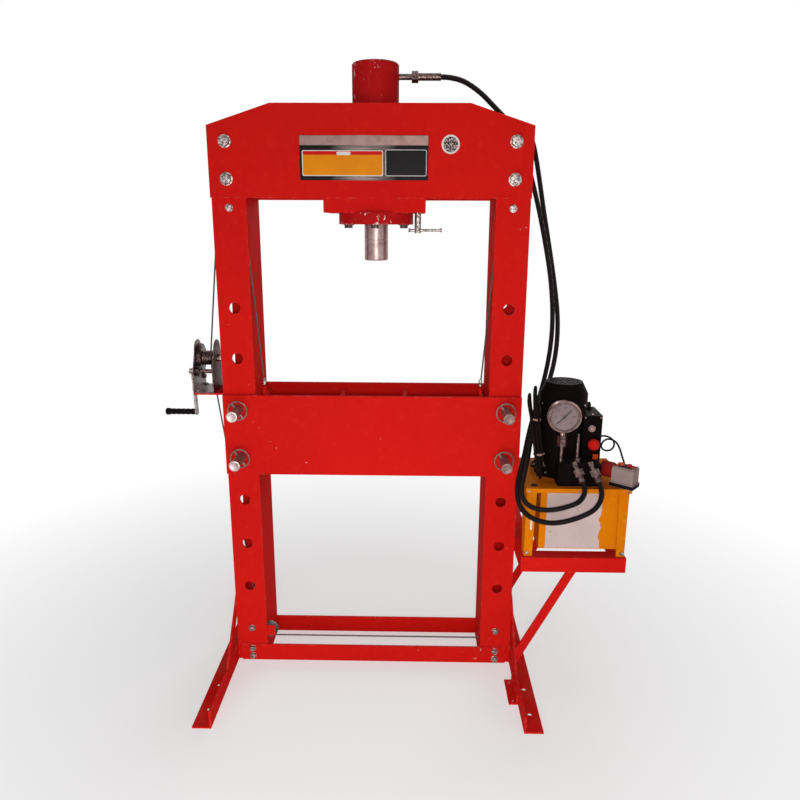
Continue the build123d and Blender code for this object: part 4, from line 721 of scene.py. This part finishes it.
def turned_piece(name, half_section, centre, axis, material, steps=40, **words):
    """A piece that is one turned shape."""
    shape = bmesh.new()
    lathe(shape, half_section, centre, axis, steps=steps)
    return shape_piece(name, shape, material, **words)


def hex_head(shape, seat, axis, flats, height):
    """A hexagon head standing on its seat, with the outer corners taken off."""
    seat = Vector(seat) / 1000
    axis = Vector(axis).normalized()
    flats, height = flats / 1000, height / 1000
    radius = flats / 2 / math.cos(math.pi / 6)
    turn = axis.to_track_quat("Z", "Y").to_matrix().to_4x4()
    made = bmesh.ops.create_cone(
        shape, cap_ends=True, segments=6, radius1=radius, radius2=radius, depth=height,
        matrix=Matrix.Translation(seat + axis * height / 2) @ turn,
    )
    top = [edge for edge in edges_of(made) if all((v.co - seat).dot(axis) > height * 0.9 for v in edge.verts)]
    rounded_off(shape, top, height * 0.17, 3)


forward = Vector((0, -1, 0))
print("turned shapes ready")

# %% [markdown]
# ## Ends of the mains lead
# Where the lead leaves the control box, a tapered rubber sleeve keeps it from kinking. The sleeve has
# to lie on the lead, so it follows points read from the lead's own curve with its bevel taken off. Its
# radius shrinks from ring to ring. The far end is made ready for wiring: three short cores.


# %% Curve helpers
def mesh_of(curve):
    """The mesh that a curve or a text gives; the curve itself isn't kept."""
    holder = bpy.data.objects.new(curve.name, curve)
    made = bpy.data.meshes.new_from_object(holder)
    bpy.data.objects.remove(holder)
    bpy.data.curves.remove(curve)
    return made


def round_curve(name, radius, resolution):
    curve = bpy.data.curves.new(name, "CURVE")
    curve.dimensions = "3D"
    curve.bevel_depth = radius
    curve.bevel_resolution = resolution
    curve.use_fill_caps = True
    return curve


def add_run(curve, points, radii):
    """A straight-sided run of a curve, with its own radius at each point."""
    spline = curve.splines.new("POLY")
    spline.points.add(len(points) - 1)
    for point, place, radius in zip(spline.points, points, radii):
        point.co = (*place, 1)
        point.radius = radius


def curve_piece(name, curve, material, slot, crease):
    shape = bmesh.new()
    shape.from_mesh(mesh_of(curve))
    return shape_piece(name, shape, material, slot=slot, crease=crease)


def sleeve(name, points, radii, material, slot=""):
    """A round skin along points, with its own radius in millimetres at each."""
    curve = round_curve(name, 0.001, 4)
    add_run(curve, points, radii)
    return curve_piece(name, curve, material, slot, 50)


print("curve helpers ready")

# %% Relief of the mains lead
bare_line = power_cable.data.copy()
bare_line.bevel_depth = 0
lead_line = [vert.co.copy() for vert in mesh_of(bare_line).vertices]
relief_least = 0.027
relief_points = [lead_line[0]]
relief_length = 0.0
for point in lead_line[1:]:
    if relief_length < relief_least:
        relief_length += (point - relief_points[-1]).length
        relief_points.append(point)
relief_radii = []
for index in range(len(relief_points)):
    share = index / (len(relief_points) - 1)
    groove = 0.9 if index % 2 and share > 0.2 else 0
    relief_radii.append(9.0 - 3.2 * share - groove)
lead_relief = sleeve("lead_relief", relief_points, relief_radii, grip_black, "grip_black")
print("relief", round(relief_length * 1000, 1), "mm long")

# %% Cores of the mains lead
core_tones = {"brown": (64, 36, 24), "black": (22, 18, 18), "grey": (104, 98, 94)}
core_reach = (0.4, 0.8, 1.0)
tail = lead_line[-1]
way = (lead_line[-1] - lead_line[-3]).normalized()
for (tone, colour), beside in zip(core_tones.items(), (-1, 0, 1)):
    skin = moulded("core_" + tone, colour, colour, (176, 164, 150), 0.45, 500.0, 0.0)
    lean = Vector((0.35 * beside, -0.2 - 0.2 * abs(beside), 0))
    core_points = [tail - way * 0.002 + Vector((0.0022 * beside, 0, 0))]
    for step, reach in enumerate(core_reach, start=1):
        core_points.append(tail + (way + lean * reach) * 0.005 * step)
    sleeve("lead_core_" + tone, core_points, (1.3, 1.3, 1.3, 1.2), skin)

# %% [markdown]
# ## Frame bolts
# Large bolts hold the crosshead and the tie bars to the uprights. The CAD bolt is a plain hexagon; a
# real one has corners taken off, a flat washer and a split spring washer under its head, and a nut
# inside the channel. One bmesh holds all of them, and it stands for the CAD node, so nothing overlaps.

# %% Frame bolts
upright_middle = 432.5
upright_face, tie_face, crosshead_face = 90, 96, 104
bolt_rows = [(z, crosshead_face, 20) for z in (1651, 1758)] + [(z, tie_face, 12) for z in (17, 47)]
bolt_shape = bmesh.new()
bolt_count = 0


def frame_bolt(shape, seat, out, size):
    """A bolt with both washers in front of its seat, and its nut behind it."""
    flat, split = size * 0.09, size * 0.14
    washer = [(0, 0), (size * 0.97, 0), (size * 0.97, flat * 0.6), (size * 0.9, flat), (0, flat)]
    lathe(shape, washer, seat, out, steps=32)
    spring = [(size * 0.5, 0), (size * 0.8, 0), (size * 0.8, split), (size * 0.5, split)]
    lathe(shape, spring, seat + out * flat, out, share=0.96, steps=28)
    hex_head(shape, seat + out * (flat + split), out, size * 1.5, size * 0.55)
    shank = [(0, 0), (size / 2, 0), (size / 2, size * 2), (size * 0.4, size * 2.08), (0, size * 2.08)]
    lathe(shape, shank, seat, -out, steps=20)
    hex_head(shape, seat - out * size, -out, size * 1.5, size * 0.75)


for side in (-1, 1):
    for x in (-upright_middle, upright_middle):
        for z, face, size in bolt_rows:
            frame_bolt(bolt_shape, Vector((x, side * face, z)), Vector((0, side, 0)), size)
            bolt_count += 1
print("bolts made", bolt_count)

# %% Pulley axles
axle_collar = [(0, 0), (12, 0), (12, 1.2), (11.2, 1.8), (0, 1.8)]
axle = [(0, 0), (6, 0), (6, 25.5), (12, 25.5), (12, 32), (11, 33), (0, 33)]
axle_spots = ((-upright_middle, 1568), (upright_middle, 1568), (upright_middle, 124), (-upright_middle, 124))
for x, z in axle_spots:
    seat = Vector((x, -upright_face, z))
    lathe(bolt_shape, axle_collar, seat, forward, steps=32)
    hex_head(bolt_shape, seat + forward * 1.8, forward, 18, 7)
    lathe(bolt_shape, axle, seat, -forward, steps=24)
frame_bolt_set = shape_piece("frame_bolt_set", bolt_shape, zinc, slot="zinc")
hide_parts("frame_bolts")
print("pulley axles made", len(axle_spots))

# %% Flange bolt caps
flange_bottom = 1520
cap_washer = [(0, 0), (17, 0), (17, -1.6), (16, -2.4), (0, -2.4)]
cap_shape = bmesh.new()
for x, y in ((12, -88), (100, 0), (12, 88), (-76, 0)):
    lathe(cap_shape, cap_washer, (x, y, flange_bottom), upright, steps=32)
    hex_head(cap_shape, (x, y, flange_bottom - 2.4), -upright, 25, 9)
shape_piece("flange_bolt_caps", cap_shape, oiled_zinc, slot="zinc")
print("flange bolt caps made")

# %% [markdown]
# ## The plate on the crosshead
# A thin printed plate is stuck to the front of the crosshead: a brushed band on top, a dark field
# with a paler band in its middle that is a painted sheen, an orange panel with a red heading, and a dark
# panel beside it.
# The panels are thin sheets with rounded corners, each a little above the one it lies on, and the
# brushed look is a noise drawn out sideways.


# %% Plate materials
def printed(name, colour, deep, rough):
    material, tree, shader = new_material(name)
    tone = toned(tree, colour, deep, colour, 18.0, 0.6)
    edged = use(tree, worn_edges, Width=0.0006, Scale=200.0, Amount=0.5)
    film = use(tree, fine_grain, Scale=120.0)
    rubbed = mixed(tree, edged, tone, paint_value(190, 186, 182))
    rough = spread(tree, film, rough - 0.08, rough + 0.1)
    surface(tree, shader, rubbed, rough, film, 0.15, 0.0002, specular=0.08)
    return material


orange_print = printed("orange_print", (230, 138, 10), (216, 120, 8), 0.45)
red_print = printed("red_print", (206, 24, 22), (184, 20, 20), 0.4)
black_print = printed("black_print", (18, 14, 15), (10, 8, 9), 0.35)
white_print = printed("white_print", (226, 218, 214), (206, 196, 190), 0.45)
brushed_band = metal("brushed_band", (124, 98, 94), (104, 78, 74), (142, 120, 115), 0.42, 420.0, 0.0002,
                     stretch=(0.04, 1, 3))
print("plate prints ready")

# %% Dark field
dark_field, tree, shader = new_material("dark_field")
across = add(tree, "SeparateXYZ", Vector=object_place(tree)).outputs["X"]
off_middle = worked(tree, "ABSOLUTE", worked(tree, "SUBTRACT", across, -0.02))
# painted sheen: the dark print gets paler towards the field's middle
painted_sheen = spread(tree, off_middle, 1.0, 0.0, From_Min=0.0, From_Max=0.1)
drawn = use(tree, fine_grain, Scale=300.0, Stretch=Vector((0.05, 1, 2)))
painted_sheen = worked(tree, "MULTIPLY", painted_sheen, masked(tree, drawn, 0.2, 0.7))
print_and_painted_sheen = mixed(tree, painted_sheen, paint_value(20, 15, 16), paint_value(196, 176, 168))
surface(tree, shader, print_and_painted_sheen, spread(tree, drawn, 0.36, 0.56), drawn, 0.2, 0.0002, specular=0.08)
print("dark field ready")


# %% Plate sheets
def rounded_sheet(name, left, right, low, high, front, thick, corner, material):
    """A thin upright sheet with rounded corners, its back on the given front plane."""
    shape = bmesh.new()
    left, right, low, high, front, thick, corner = (
        value / 1000 for value in (left, right, low, high, front, thick, corner)
    )
    middle = Vector(((left + right) / 2, front - thick / 2, (low + high) / 2))
    place = Matrix.Translation(middle) @ Matrix.Diagonal((right - left, thick, high - low, 1))
    made = bmesh.ops.create_cube(shape, size=1, matrix=place)
    through = [edge for edge in edges_of(made) if abs(edge.verts[0].co.y - edge.verts[1].co.y) > thick / 2]
    rounded_off(shape, through, corner, 6)
    return shape_piece(name, shape, material)


crosshead_front = -crosshead_face
print_thick = 0.3
on_field = crosshead_front - 0.8
on_rim = on_field - print_thick
on_panel = on_rim - print_thick
on_heading = on_panel - print_thick
rounded_sheet("plate_field", -210, 173, 1648, 1775, crosshead_front, 0.8, 2, dark_field)
rounded_sheet("plate_band", -209, 172, 1747, 1774.2, on_field, print_thick, 1.5, brushed_band)
rounded_sheet("plate_left_rim", -203, 38.5, 1660, 1733, on_field, print_thick, 5, white_print)
rounded_sheet("plate_left_panel", -200.5, 36, 1662.5, 1730.5, on_rim, print_thick, 4, orange_print)
rounded_sheet("plate_left_heading", -200.5, 36, 1720, 1730.5, on_panel, print_thick, 4, red_print)
rounded_sheet("plate_heading_blank", -100, -58, 1719, 1729, on_heading, print_thick, 4, white_print)
rounded_sheet("plate_right_rim", 45.5, 168, 1660, 1735, on_field, print_thick, 5, white_print)
rounded_sheet("plate_right_panel", 47.3, 166.2, 1661.8, 1733.2, on_rim, print_thick, 4, black_print)
print("plate sheets made")

# %% Badge
badge_centre = (238, crosshead_front, 1750)
badge_rim = [(21.5, 0.3), (21.5, 1.8), (22.5, 2.4), (26, 2.4), (27, 1.6), (27, 0)]
badge_face = [(0, 1.5), (14, 1.4), (21.6, 1.1), (21.6, 0)]
speckled_badge, tree, shader = new_material("speckled_badge")
flecks = cloudy(tree, object_place(tree), 210.0, 2.0)
face = mixed(tree, masked(tree, flecks, 0.5, 0.56), paint_value(20, 14, 15), paint_value(204, 176, 170))
surface(tree, shader, face, spread(tree, flecks, 0.5, 0.3), flecks, 0.4, 0.0004, specular=0.2)
turned_piece("badge_rim", badge_rim, badge_centre, forward, white_print, steps=64)
turned_piece("badge_face", badge_face, badge_centre, forward, speckled_badge, steps=64)
print("badge made")

# %% [markdown]
# ## The gauge
# Behind the glass is a pale dial with a scale from 0 to 60; its colour is set darker than that, as painted
# shade of its place under the glass. The long marks and the numbers follow an arc of three quarters of a
# turn, from low on the left round to low on the right, so each is placed by its own angle. Text starts as a
# font curve; it is made a mesh first and then put in its place.

# %% Dial
dial_centre = Vector((602, -204, 947))
dial_disc = [(4.2, 0), (4.2, 0.5), (45.5, 0.5), (45.5, 0)]
# the bezel's inner lip, coloured dark as painted shade and painted dark reflection round the dial
shade_ring_section = [(41.6, 0.5), (41.6, 1.6), (43, 2.8), (46, 3.4), (48.4, 3.4), (48.4, 0.5)]
# the pale dial's colour is set darker: painted shade under the glass
dial_painted_shade, tree, shader = new_material("dial_painted_shade")
tone = toned(tree, (134, 108, 105), (120, 92, 89), (150, 126, 122), 22.0, 0.6)
enamel = use(tree, fine_grain, Scale=500.0)
surface(tree, shader, tone, spread(tree, enamel, 0.4, 0.6), specular=0.2)
turned_piece("gauge_dial", dial_disc, dial_centre, forward, dial_painted_shade, steps=72)
turned_piece("gauge_shade_ring", shade_ring_section, dial_centre, forward, bezel_painted_shade, steps=72, slot="bright_steel")
print("dial and ring made")

# %% Dial marks
dial_start, dial_sweep = 225, 270
dial_end = 60


def dial_angle(reading):
    return math.radians(dial_start - dial_sweep * reading / dial_end)


def dial_turn(reading):
    """Brings a shape that stands up from the dial's middle to a reading."""
    middle = Matrix.Translation(dial_centre / 1000)
    return middle @ Matrix.Rotation(math.pi / 2 - dial_angle(reading), 4, "Y")


mark_shape = bmesh.new()
for reading in range(dial_end + 1):
    inner = 35 if reading % 10 == 0 else 37 if reading % 5 == 0 else 38.5
    half = 0.55 if reading % 5 == 0 else 0.28
    slab(mark_shape, (-half, -0.75, inner), (half, -0.5, 40.5), 0.00005, dial_turn(reading))
shape_piece("gauge_marks", mark_shape, needle_black, slot="needle_black")
print("dial marks", dial_end + 1)

# %% Dial numbers and needle
number_ring = 0.0285
number_shape = bmesh.new()
for reading in range(0, dial_end + 1, 10):
    words = bpy.data.curves.new("dial_number", "FONT")
    words.body = str(reading)
    words.size = 0.0095
    words.align_x = "CENTER"
    words.align_y = "CENTER"
    words.extrude = 0.0001
    flat = mesh_of(words)
    angle = dial_angle(reading)
    spot = Vector((number_ring * math.cos(angle), -0.0007, number_ring * math.sin(angle)))
    flat.transform(Matrix.Translation(dial_centre / 1000 + spot) @ Matrix.Rotation(math.pi / 2, 4, "X"))
    number_shape.from_mesh(flat)
    bpy.data.meshes.remove(flat)
shape_piece("gauge_numbers", number_shape, needle_black, slot="needle_black")
needle_shape = bmesh.new()
slab(needle_shape, (-1.7, -3.4, -25), (1.7, -2.9, 31), 0.0002, dial_turn(0))
shape_piece("needle_bar", needle_shape, needle_black, body="gauge_needle", slot="needle_black")
print("dial numbers 0 to", dial_end, "and the needle's bar")

# %% [markdown]
# ## The torn paper and the small label
# A sheet of paper is pasted on the tank and is partly torn away at its right edge. A fine grid gives
# the sheet enough points to fray its edges and lift it a little from the tank with noise; a thin wall
# then makes it paper instead of a surface without thickness. The wall grows along the normals, and
# moving points leaves these stale, so they are worked out anew first.

# %% Paper material
paper_white, tree, shader = new_material("paper_white")
tone = toned(tree, (204, 182, 178), (186, 156, 150), (220, 206, 202), 9.0, 0.7)
stain = masked(tree, cloudy(tree, object_place(tree), 26.0, 5.0, 0.7), 0.6, 0.8)
stained = mixed(tree, stain, tone, paint_value(172, 128, 108))
fibre = use(tree, fine_grain, Scale=700.0)
surface(tree, shader, stained, spread(tree, fibre, 0.75, 0.95), fibre, 0.1, 0.0003, specular=0.1)
print("paper ready")

# %% Torn paper
tank_front, leg_front = -221, -228
paper_left, paper_right = 560.5, 734
paper_low, paper_high = 514.5, 704


def wave(first, second=0.0, third=0.0):
    return noise.noise(Vector((first, second, third)))


paper_shape = bmesh.new()
bmesh.ops.create_grid(paper_shape, x_segments=36, y_segments=72, size=0.5)
for vert in paper_shape.verts:
    across, up = vert.co.x + 0.5, vert.co.y + 0.5
    fray = wave(up * 9, 3.1) + 0.6 * wave(up * 31, 7.7)
    bite = 9 * math.exp(-(((up - 0.52) / 0.05) ** 2)) + 6 * math.exp(-(((up - 0.24) / 0.07) ** 2))
    left = paper_left + 1.4 * wave(up * 14, 0.4, 2)
    right = paper_right + 3.2 * fray - bite
    low = paper_low + 1.2 * wave(across * 16, 5.2, 1)
    lift = 0.7 + 0.4 * wave(across * 3, up * 3, 1.5) + 1.2 * across**6 * (1 - up)
    x, z = left + (right - left) * across, low + (paper_high - low) * up
    vert.co = Vector((x, tank_front - lift, z)) / 1000
bmesh.ops.recalc_face_normals(paper_shape, faces=paper_shape.faces)
paper_shape.normal_update()
bmesh.ops.solidify(paper_shape, geom=paper_shape.faces[:], thickness=0.0003)
shape_piece("torn_paper", paper_shape, paper_white)
rounded_sheet("leg_label", 509.5, 516, 579, 611, leg_front, print_thick, 1, white_print)
print("paper and label made")

# %% [markdown]
# ## Weld beads
# The frame is welded where the head plate meets the crosshead, where the ribs meet the bed plates and
# where the shelf meets the upright. A bead is a row of small overlapping ripples. A curve whose radius
# swells and shrinks every few millimetres gives exactly that, and it is made a mesh at the end.


# %% Bead helper
def weld_bead(name, runs, radius, ripple=4.0):
    """Rippled beads along straight runs, given in millimetres, as one piece."""
    curve = round_curve(name, radius / 1000, 1)
    for start, end in runs:
        start, end = millimetres(start, end)
        count = max(4, int((end - start).length * 1000 / ripple))
        points = [start.lerp(end, index / count) for index in range(count + 1)]
        radii = []
        for index in range(count + 1):
            wobble = 0.16 * noise.noise(start * 50 + Vector((index * 0.7, 0, 0)))
            radii.append((0.5 if index in (0, count) else 1.0 if index % 2 else 0.76) + wobble)
        add_run(curve, points, radii)
    return curve_piece(name, curve, press_red, "press_red", 60)


print("bead helper ready")

# %% Beads
head_runs = [((-141, y, 1596), (165, y, 1596)) for y in (-101, 101)]
head_runs += [((x, 88, 1596.5), (x, -88, 1596.5)) for x in (-144, 168)]
weld_bead("head_beads", head_runs, 3.2)
rib_feet = [(x + edge, y) for x in (-366, -106, 106, 366) for y in (-90.5, 90.5) for edge in (-6.5, 6.5)]
rib_runs = [((x, y, 740), (x, y, 958)) for x, y in rib_feet]
weld_bead("rib_beads", rib_runs, 3.0)
shelf_runs = [((486, y, 440), (486, y, 487)) for y in (-87, 87)]
shelf_runs += [((487, -92, 488), (487, -83, 488)), ((487, 83, 488), (487, 92, 488))]
weld_bead("shelf_beads", shelf_runs, 3.0)
print("beads along", len(head_runs) + len(rib_runs) + len(shelf_runs), "runs")

# %% [markdown]
# ## The switch box and the control box
# The start box has a black foot and a dark panel let into its top round the two buttons. A panel with
# round holes starts as flat outlines: a rectangle and two circles, filled between and then given a
# thickness. The control box carries a key lock, corner screws and a rubber gland on its top. A plug
# closes the tank's filler.

# %% Switch panel
cover_top = 722
switch_seat = Vector((803, -205, cover_top)) / 1000
switch_place = Matrix.Translation(switch_seat) @ Matrix.Rotation(math.radians(-40), 4, "Z")
panel_shape = bmesh.new()
outline = bmesh.ops.create_grid(panel_shape, x_segments=1, y_segments=1, size=0.5)
bmesh.ops.scale(panel_shape, vec=(0.058, 0.036, 1), verts=outline["verts"])
bmesh.ops.delete(panel_shape, geom=panel_shape.faces[:], context="FACES_ONLY")
for x in (-0.012, 0.012):
    bmesh.ops.create_circle(panel_shape, segments=32, radius=0.0088, matrix=Matrix.Translation((x, 0, 0)))
bmesh.ops.triangle_fill(panel_shape, edges=panel_shape.edges[:], use_beauty=True)
bmesh.ops.recalc_face_normals(panel_shape, faces=panel_shape.faces)
bmesh.ops.solidify(panel_shape, geom=panel_shape.faces[:], thickness=0.0012)
panel_place = switch_place @ Matrix.Translation((0, 0, 0.0666))
bmesh.ops.transform(panel_shape, matrix=panel_place, verts=panel_shape.verts)
shape_piece("switch_panel", panel_shape, motor_black, slot="motor_black")
print("switch panel made")

# %% Switch foot and trim
foot_shape = bmesh.new()
slab(foot_shape, (-38.5, -26.5, 0.3), (38.5, 26.5, 12.5), 0.0012, switch_place)
shape_piece("switch_foot", foot_shape, grip_black, slot="grip_black")
trim_shape = bmesh.new()
for x in (-24, 24):
    for y in (-13, 4):
        slab(trim_shape, (x - 4, y, 66.4), (x + 4, y + 9, 68), 0.0004, switch_place)
shape_piece("switch_marks", trim_shape, orange_plastic, slot="orange_plastic")
screw_shape = bmesh.new()
for x in (-31.5, 31.5):
    for y in (-19.5, 19.5):
        spot = switch_place @ (Vector((x, y, 66)) / 1000) * 1000
        lathe(screw_shape, [(2.6, 0), (2.6, 0.6), (1.8, 1.3), (0, 1.5)], spot, upright, steps=16)
shape_piece("switch_screws", screw_shape, zinc, slot="zinc")
print("switch foot, marks and screws made")

# %% Control box trim and filler plug
control_front, control_top = -130, 930
lock_shape = bmesh.new()
lock_ring = [(12, 0), (12, 2), (10.5, 3.2), (8, 3.2), (7.4, 2.4), (0, 2.4)]
lathe(lock_shape, lock_ring, (708, control_front, 888), forward)
slab(lock_shape, (706.9, control_front - 5.2, 883), (709.1, control_front - 2, 893), 0.0004)
for x, z in ((686, 924), (736, 924), (686, 768), (736, 768)):
    screw = [(3.2, 0), (3.2, 0.8), (2.2, 1.8), (0, 2.1)]
    lathe(lock_shape, screw, (x, control_front, z), forward, steps=20)
lathe(lock_shape, [(4.5, 0), (4.5, 1.2), (3.2, 2.4), (0, 2.8)], (712, -116, control_top), upright, steps=20)
shape_piece("control_lock", lock_shape, chrome, slot="bright_steel")
gland_seat = (716, -40, control_top)
gland_cap = [(8.5, 7), (8.5, 10), (7.4, 10.6), (8.2, 12), (7.6, 18), (5, 23), (0, 24)]
gland_shape = bmesh.new()
hex_head(gland_shape, gland_seat, upright, 19, 7)
lathe(gland_shape, gland_cap, gland_seat, upright, steps=28)
shape_piece("control_gland", gland_shape, grip_black, slot="grip_black")
plug = [(11, 0), (11, 1.2), (9.6, 2), (8, 2), (7.2, 0.6), (0, 0.6)]
turned_piece("filler_plug", plug, (519, -206, cover_top), upright, grip_black, steps=32, slot="grip_black")
seam_shape = bmesh.new()
slab(seam_shape, (679.6, -110.6, 761.6), (742.4, -109.4, 930.4), 0.0002)
shape_piece("control_seam", seam_shape, grip_black, slot="grip_black")
print("control box trim made")

# %% [markdown]
# ## Motor, valve block and tank fasteners
# Small screws hold the fan cover and the motor's foot, socket screws close the valve block, and a few
# more sit on the cover's lip and the legs. They are the same lathe and hexagon shapes, set round a
# circle where the real ones are.

# %% Pump fasteners
motor_x, motor_y = 625, -70
cover_front, block_front = -236, -212


def on_circle(radius, z, count, first):
    """Spots evenly round the motor's axis, each with its way outward."""
    for index in range(count):
        angle = math.radians(first + 360 / count * index)
        out = Vector((math.cos(angle), math.sin(angle), 0))
        yield Vector((motor_x, motor_y, z)) + out * radius, out


pump_shape = bmesh.new()
for spot, out in on_circle(78.5, 734, 4, 45):
    hex_head(pump_shape, spot, upright, 9, 5)
for spot, out in on_circle(77, 962, 6, 20):
    lathe(pump_shape, [(3.6, -0.5), (3.6, 0.9), (2.4, 2.1), (0, 2.4)], spot, out, steps=20)
for x in (500, 808, 654):
    lip_screw = [(3.4, -0.2), (3.4, 1), (2.2, 2.2), (0, 2.5)]
    lathe(pump_shape, lip_screw, (x, cover_front, 713), forward, steps=20)
for x in (503, 806):
    hex_head(pump_shape, (x, leg_front, 500), forward, 11, 5)
shape_piece("pump_fasteners", pump_shape, zinc, slot="zinc")
socket_shape = bmesh.new()
socket = [(5.4, 0), (5.4, 3.4), (4.8, 4), (2.9, 4), (2.9, 1), (0, 1)]
for x in (600, 718):
    for z in (730, 788):
        lathe(socket_shape, socket, (x, block_front, z), forward, steps=24)
shape_piece("block_screws", socket_shape, motor_black, slot="motor_black")
print("pump fasteners made")

# %% Ferrule rings
ferrule_x = 141.5
ring_pitch = 6
coupling_way = Vector((0.33, -0.55, -0.77)).normalized()
ferrules = [
    (Vector((ferrule_x, 0, 1953)), Vector((1, 0, 0)), 68),
    (Vector((ferrule_x, 0, 1652)), Vector((1, 0, 0)), 42),
]
for x in (646, 696):
    ferrules.append((Vector((x, block_front, 784)) + coupling_way * 29.5, coupling_way, 20.5))
ring_shape = bmesh.new()
for start, way, length in ferrules:
    for index in range(int(length / ring_pitch)):
        spot = start + way * (ring_pitch / 2 + index * ring_pitch)
        lathe(ring_shape, [(10.2, -1.6), (11.3, -1), (11.3, 1), (10.2, 1.6)], spot, way, steps=28)
    lip = [(8.1, 1.2), (10.8, 1.2), (11.4, 0.4), (11.4, -1.4), (10.2, -2)]
    lathe(ring_shape, lip, start + way * (length - 1.2), way, steps=28)
shape_piece("ferrule_rings", ring_shape, oiled_zinc, slot="zinc")
print("ferrule rings on", len(ferrules), "fittings")

# %% [markdown]
# ## Winch, ropes and ties
# The drum's axle and the crank's shaft end in nuts, the rope ends are closed by pressed sleeves above
# their eyes, and two paper-tan ties hold the hank. A tie is a flat band round the bundle: a circle
# drawn out to the bundle's width, raised to a strip and given a thickness.

# %% Winch nuts and rope sleeves
drum_low, drum_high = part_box("winch_drum")
drum_y, drum_z = [500 * (drum_low[axis] + drum_high[axis]) for axis in (1, 2)]
pinion_low, pinion_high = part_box("winch_pinion")
crank_y, crank_z = [500 * (pinion_low[axis] + pinion_high[axis]) for axis in (1, 2)]
nut_shape = bmesh.new()
for x, way in ((-580, -1), (-514, 1)):
    out = Vector((way, 0, 0))
    lathe(nut_shape, [(0, 0), (13, 0), (13, 1.4), (12, 2), (0, 2)], (x, drum_y, drum_z), out, steps=28)
    hex_head(nut_shape, (x + 2 * way, drum_y, drum_z), out, 19, 8)
for x in (-572, -522):
    for y in (-84, 28):
        hex_head(nut_shape, (x, y, 988), upright, 10, 5)
shape_piece("winch_nuts", nut_shape, zinc, slot="zinc")
crank_shape = bmesh.new()
hex_head(crank_shape, (pinion_low[0] * 1000 + 2, crank_y, crank_z), (-1, 0, 0), 17, 7)
shape_piece("crank_nut", crank_shape, zinc, body="crank", slot="zinc")
sleeve_shape = bmesh.new()
rope_sleeve = [(2.4, -1), (5, -1), (5.8, 0), (5.8, 20), (5, 21), (2.4, 21)]
eye_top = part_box("bed_ribs")[1][2] * 1000
for x in (-352, 352):
    lathe(sleeve_shape, rope_sleeve, (x, -72, eye_top + 3), upright, steps=24)
shape_piece("rope_sleeves", sleeve_shape, zinc, slot="zinc")
print("winch nuts and rope sleeves made; drum at", round(drum_y), round(drum_z))

# %% Pin faces
pin_face = [(0, 0.5), (11.5, 0.5), (12.2, 0.9), (16.2, 0.9), (17.4, 0.2), (17.4, -1.5)]
for row, z in (("upper", 935.3), ("lower", 773.3)):
    for side, x, finish in (("left", -upright_middle, cut_steel), ("right", upright_middle, pin_steel)):
        name = f"{row}_{side}_pin"
        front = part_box(name)[0][1] * 1000
        turned_piece(name + "_face", pin_face, (x, front, z), forward, finish, body=name, slot="bright_steel")
print("pin faces made")

# %% Hank ties
tie_tan = printed("tie_tan", (176, 138, 124), (140, 102, 92), 0.6)
tie_shape = bmesh.new()
for middle, lean in ((tie_middle, 8), (foot_tie_middle, -6)):
    place = Matrix.Translation(middle) @ Matrix.Rotation(math.radians(lean), 4, "Y")
    oval = place @ Matrix.Diagonal((0.0172, 0.0122, 1, 1))
    hoop = bmesh.ops.create_circle(tie_shape, segments=40, radius=1, matrix=oval)
    strip = bmesh.ops.extrude_edge_only(tie_shape, edges=edges_of(hoop))
    raised = [item for item in strip["geom"] if isinstance(item, bmesh.types.BMVert)]
    bmesh.ops.translate(tie_shape, vec=place.to_3x3() @ Vector((0, 0, 0.005)), verts=raised)
bmesh.ops.recalc_face_normals(tie_shape, faces=tie_shape.faces)
bmesh.ops.solidify(tie_shape, geom=tie_shape.faces[:], thickness=-0.0009)
for middle in (tie_middle * 1000, foot_tie_middle * 1000):
    slab(tie_shape, middle + Vector((-3, -17.5, 0)), middle + Vector((3.5, -12, 6)), 0.0006)
shape_piece("hank_ties", tie_shape, tie_tan)
print("two ties made")
